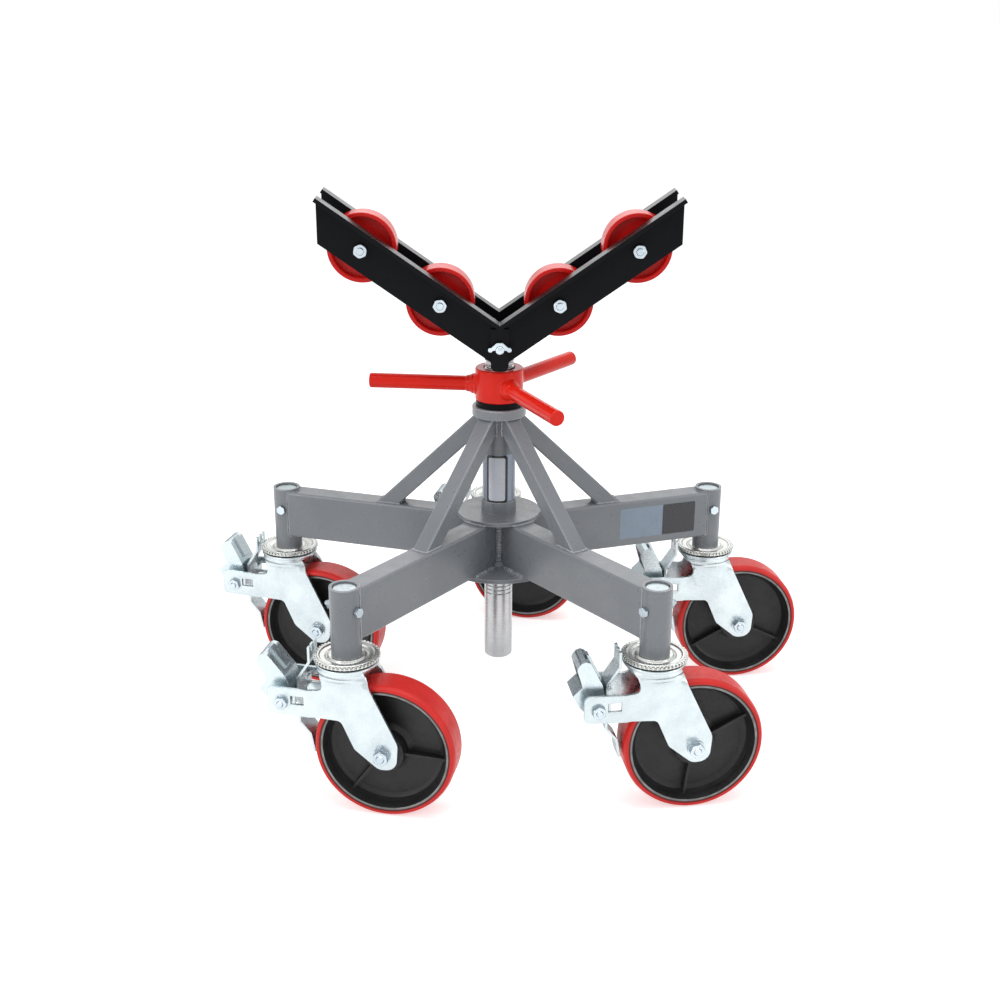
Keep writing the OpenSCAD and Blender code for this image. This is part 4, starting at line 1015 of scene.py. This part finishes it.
# %% Wing screw
WING_LEVEL = 599
WING_REAR, WING_FRONT, WING_EDGE = 49.2, 54.6, 1.6
RIGHT_WING = [
    (5, -1, 1), (9.5, -0.6, 3), (12, -3.3, 2), (17, -3.3, 3.1), (17, 3.5, 3.1), (12.4, 3.6, 3), (4.4, 10.8, 4),
]
WING_HUB = [
    (0, 18.5, 0), (2.6, 18.5, 0), (3.9, 20, 0), (3.9, 46.4, 0), (6.9, 46.4, 0.5), (6.9, 49, 1), (6.1, 57.6, 2.4),
    (0, 58.4, 0),
]
HUB_STEPS = 40


def wing_casting():
    shape = spun(rounded(WING_HUB, closed=False), HUB_STEPS)
    outline = rounded(RIGHT_WING + [(-x, z, radius) for x, z, radius in reversed(RIGHT_WING)])
    close_solid(shape, *([shape.verts.new((x, z, depth)) for x, z in outline] for depth in (WING_REAR, WING_FRONT)))
    place = shifted(0, 0, WING_LEVEL) @ ALONG_MINUS_Y
    piece = place_mesh("die_cast_wings", shape, place, [bolt_zinc], "wing_screw")
    break_edges(piece, WING_EDGE, 3)
    bake_modifiers(piece)
    piece.data.shade_smooth()
    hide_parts("wing_screw")
    return piece


wings = wing_casting()
print("wing screw faces:", len(wings.data.polygons))

# %% [markdown]
# ## Weld beads
# The frame is welded before it is painted, so grey paint runs over every bead. A hand-laid bead is a row of small
# overlapping drops that wander a little. The seams are written as lines along the joints, and a tree sets a drop
# every two millimetres along them, each a little larger or smaller than the last.

# %% A tree that lays beads
BEAD_PITCH, BEAD_RADIUS = 2.0, 1.7
BEAD_LOW, BEAD_HIGH = 0.8, 1.15
BEAD_WANDER = 0.35
DROP_SEGMENTS, DROP_RINGS = 8, 5


def bead_tree():
    t = Tree("weld_beads", Pitch=BEAD_PITCH, Radius=BEAD_RADIUS, Wander=BEAD_WANDER, Seed=11, Finish=frame_paint)
    seams = t.add("GeometryNodeMeshToCurve", Mesh=t.given("Geometry"))
    spots = t.add("GeometryNodeCurveToPoints", mode="LENGTH", Curve=seams.outputs[0], Length=t.given("Pitch"))
    shake = t.add("FunctionNodeRandomValue", data_type="FLOAT_VECTOR", Min=(-1, -1, -1), Max=(1, 1, 1),
                  Seed=t.given("Seed"))
    offset = t.add("ShaderNodeVectorMath", operation="SCALE", Scale=t.given("Wander"))
    t.plug(shake.outputs["Value"], offset.inputs[0])
    moved = t.add("GeometryNodeSetPosition", Geometry=spots.outputs["Points"], Offset=offset.outputs[0])
    size = t.add("FunctionNodeRandomValue", data_type="FLOAT")
    t.plug(BEAD_LOW, size.inputs[2])
    t.plug(BEAD_HIGH, size.inputs[3])
    t.plug(t.given("Seed"), size.inputs["Seed"])
    wide = t.math("MULTIPLY", size.outputs[1], t.given("Radius"))
    drop = t.add("GeometryNodeMeshUVSphere", Segments=DROP_SEGMENTS, Rings=DROP_RINGS, Radius=1)
    laid = t.add("GeometryNodeInstanceOnPoints", Points=moved.outputs[0], Instance=drop.outputs[0],
                 Rotation=spots.outputs["Rotation"], Scale=t.vector(wide, wide, wide))
    return t.close(laid.outputs[0])


class Seams:
    """Collects lines in millimetres; the points of each are joined by edges."""

    def __init__(self):
        self.points, self.edges = [], []

    def line(self, points, turn=0, closed=False):
        start = len(self.points)
        self.points += [turned(turn) @ Vector(p) for p in points]
        ends = [(start + k, start + k + 1) for k in range(len(points) - 1)]
        self.edges += ends + ([(len(self.points) - 1, start)] if closed else [])

    def mesh(self, name):
        made = bpy.data.meshes.new(name)
        made.from_pydata(self.points, self.edges, [])
        return made


# %% Seams of the frame
BEAM_HALF, BEAM_LOW, BEAM_HIGH = 19, 255, 330
BRACE_HALF, BRACE_FOOT = 12.7, (159.6, 196.4)
BRACE_HEAD_LOW, COLLAR_LOW = 462.5, 487.4
BRACE_BACK = 35.2
TUBE_RADIUS = 24.5
SOCKET_SEAM_RADIUS = 21.2
UPPER_PLATE_EDGE, LOWER_PLATE_EDGE = 64.1, 88
SEAM_FIRST, SEAM_LAST = 258, 328
ARC_STEPS = 10
NARROW_RADIUS = 1.1
HALF_LEG_ANGLE = 36
FILLET_OUT, FILLET_RADIUS, FILLET_PITCH = 4.5, 4.8, 1.6
CRATER_OUT, CRATER_RADIUS = 3, 8.5


def socket_seam():
    """Where a beam's square end meets the round socket."""
    across = [(y, BEAM_HIGH + 0.4) for y in spaced(-BEAM_HALF + 2, BEAM_HALF - 2, ARC_STEPS)]
    under = [(y, BEAM_LOW - 0.4) for y in spaced(BEAM_HALF - 2, -BEAM_HALF + 2, ARC_STEPS)]
    loop = [(-BEAM_HALF - 0.5, SEAM_FIRST), (-BEAM_HALF - 0.5, SEAM_LAST)] + across
    loop += [(BEAM_HALF + 0.5, SEAM_LAST), (BEAM_HALF + 0.5, SEAM_FIRST)] + under
    return [(LEG_REACH - math.sqrt(SOCKET_SEAM_RADIUS ** 2 - y * y), y, z) for y, z in loop]


seams, narrow, fillets, craters = Seams(), Seams(), Seams(), Seams()
plate_turn = math.asin(BEAM_HALF / UPPER_PLATE_EDGE)
valley = BEAM_HALF / math.sin(math.radians(HALF_LEG_ANGLE)) + FILLET_OUT
for leg, _ in CASTERS.values():
    narrow.line(socket_seam(), leg, closed=True)
    near, far = BRACE_FOOT
    foot = [(near, -BRACE_HALF), (far, -BRACE_HALF), (far, BRACE_HALF), (near, BRACE_HALF)]
    seams.line([(x, y, BEAM_HIGH + 0.5) for x, y in foot], leg, closed=True)
    head = [(BRACE_BACK, COLLAR_LOW), (TUBE_RADIUS, COLLAR_LOW), (TUBE_RADIUS, BRACE_HEAD_LOW)]
    for side in (-1, 1):
        seams.line([(x, side * (BRACE_HALF + 0.4), z) for x, z in head], leg)
    seams.line([(TUBE_RADIUS + 0.8, y, BRACE_HEAD_LOW) for y in (-BRACE_HALF, BRACE_HALF)], leg)
    seams.line([(UPPER_PLATE_EDGE * math.cos(a), UPPER_PLATE_EDGE * math.sin(a), BEAM_HIGH + 0.7)
                for a in spaced(-plate_turn, plate_turn, ARC_STEPS)], leg)
    fillets.line([(valley, 0, SEAM_FIRST), (valley, 0, SEAM_LAST)], leg + HALF_LEG_ANGLE)
    craters.line([(valley + CRATER_OUT, 0, SEAM_FIRST + up) for up in (0, 1)], leg + HALF_LEG_ANGLE)
    for side in (-1, 1):
        fillets.line([(x, side * BEAM_HALF, BEAM_LOW) for x in (valley, LOWER_PLATE_EDGE - FILLET_RADIUS)], leg)
beads = bead_tree()
weld_beads = [grow(name, beads, lines.mesh(name), Matrix(), "frame", "frame_grey", Radius=radius, Pitch=pitch)
              for name, lines, radius, pitch in (
                  ("weld_beads", seams, BEAD_RADIUS, BEAD_PITCH),
                  ("weld_round_sockets", narrow, NARROW_RADIUS, BEAD_PITCH),
                  ("weld_fillets", fillets, FILLET_RADIUS, FILLET_PITCH),
                  ("weld_craters", craters, CRATER_RADIUS, FILLET_PITCH))]
print("weld faces:", [len(piece.data.polygons) for piece in weld_beads])

# %% [markdown]
# ## Sleeve and panels
# A bright printed sleeve is wrapped round the foot of the centre tube, with a framed field that faces the front,
# and one leg carries a long plain sticker in two tones. Both are thin sheets, and their fields stay blank. Columns
# of quads across each field follow its round corners, and a function lays them flat on the leg or round the tube.

# %% Blank panels
FIELD_COLUMNS = 48
STICKER_SHEET = 0.12
WORN_SHARE = 0.9


def printed(name, colour, roughness=0.3, metallic=0.0):
    worn = tuple(c * WORN_SHARE for c in colour)
    return plain_skin(name, colour, roughness, metallic=metallic, edge=0, drift=(worn, colour, 60, 4),
                      matt=(300, 2, roughness - 0.05, roughness + 0.08)).material


def field(name, box, corner, lay, finish, place=Matrix()):
    """A thin sheet over the box (left, right, low, high); lay puts each of its points in space."""
    left, right, low, high = box
    shape = bmesh.new()
    pairs = []
    for across in spaced(left, right, FIELD_COLUMNS):
        past = max(left + corner - across, across - right + corner, 0)
        cut = corner - math.sqrt(max(corner ** 2 - past ** 2, 0))
        pairs.append([shape.verts.new(lay(across, level)) for level in (low + cut, high - cut)])
    for (a, b), (c, d) in zip(pairs, pairs[1:]):
        shape.faces.new((a, c, d, b))
    piece = place_mesh(name, shape, place, [finish], "frame", clean=False)
    modify(piece, "SOLIDIFY", thickness=STICKER_SHEET * MM, offset=1)
    bake_modifiers(piece)
    smooth(piece.data)


def on_sleeve(radius):
    """Lays a field round the tube: across is the arc from the middle of the front, to the right."""
    return lambda across, level: (radius * math.sin(across / radius), -radius * math.cos(across / radius), level)


def on_leg(proud):
    """Lays a field on the right-hand side of a leg, seen from outside; across is the distance along the leg."""
    return lambda across, level: (across, -BEAM_HALF - proud, level)


SLEEVE_LOW, SLEEVE_HIGH, SLEEVE_RADIUS = 355.4, 431, 25.0
SLEEVE_INSIDE, SLEEVE_STEPS = 24.6, 96
SLEEVE_PROFILE = [(SLEEVE_INSIDE, SLEEVE_LOW), (SLEEVE_RADIUS, SLEEVE_LOW), (SLEEVE_RADIUS, SLEEVE_HIGH),
                  (SLEEVE_INSIDE, SLEEVE_HIGH)]
sleeve_blue = printed("sleeve_blue_grey", (0.24, 0.28, 0.34), 0.32, 0.35)
ink_black = printed("printed_black", (0.010, 0.010, 0.012), 0.3)
field_white = printed("printed_pale", (0.60, 0.63, 0.70), 0.3)
place_mesh("tube_sleeve", spun(SLEEVE_PROFILE, SLEEVE_STEPS), Matrix(), [sleeve_blue], "frame")
field("sleeve_frame", (-20.6, 13.6, 353.9, 430), 5, on_sleeve(25.15), ink_black)
field("sleeve_field", (-16.6, 9.6, 357.9, 426.1), 3, on_sleeve(25.35), field_white)

leg_turn = turned(CASTERS["right"][0])
sticker_blue = printed("sticker_blue_grey", (0.24, 0.30, 0.38))
sticker_dark = printed("sticker_dark", (0.03, 0.03, 0.035))
field("sticker_left", (196, 326, 268, 318.6), 1.5, on_leg(0.1), sticker_blue, leg_turn)
field("sticker_right", (269.6, 326, 268, 318.6), 1.5, on_leg(0.3), sticker_dark, leg_turn)
print("panels laid")
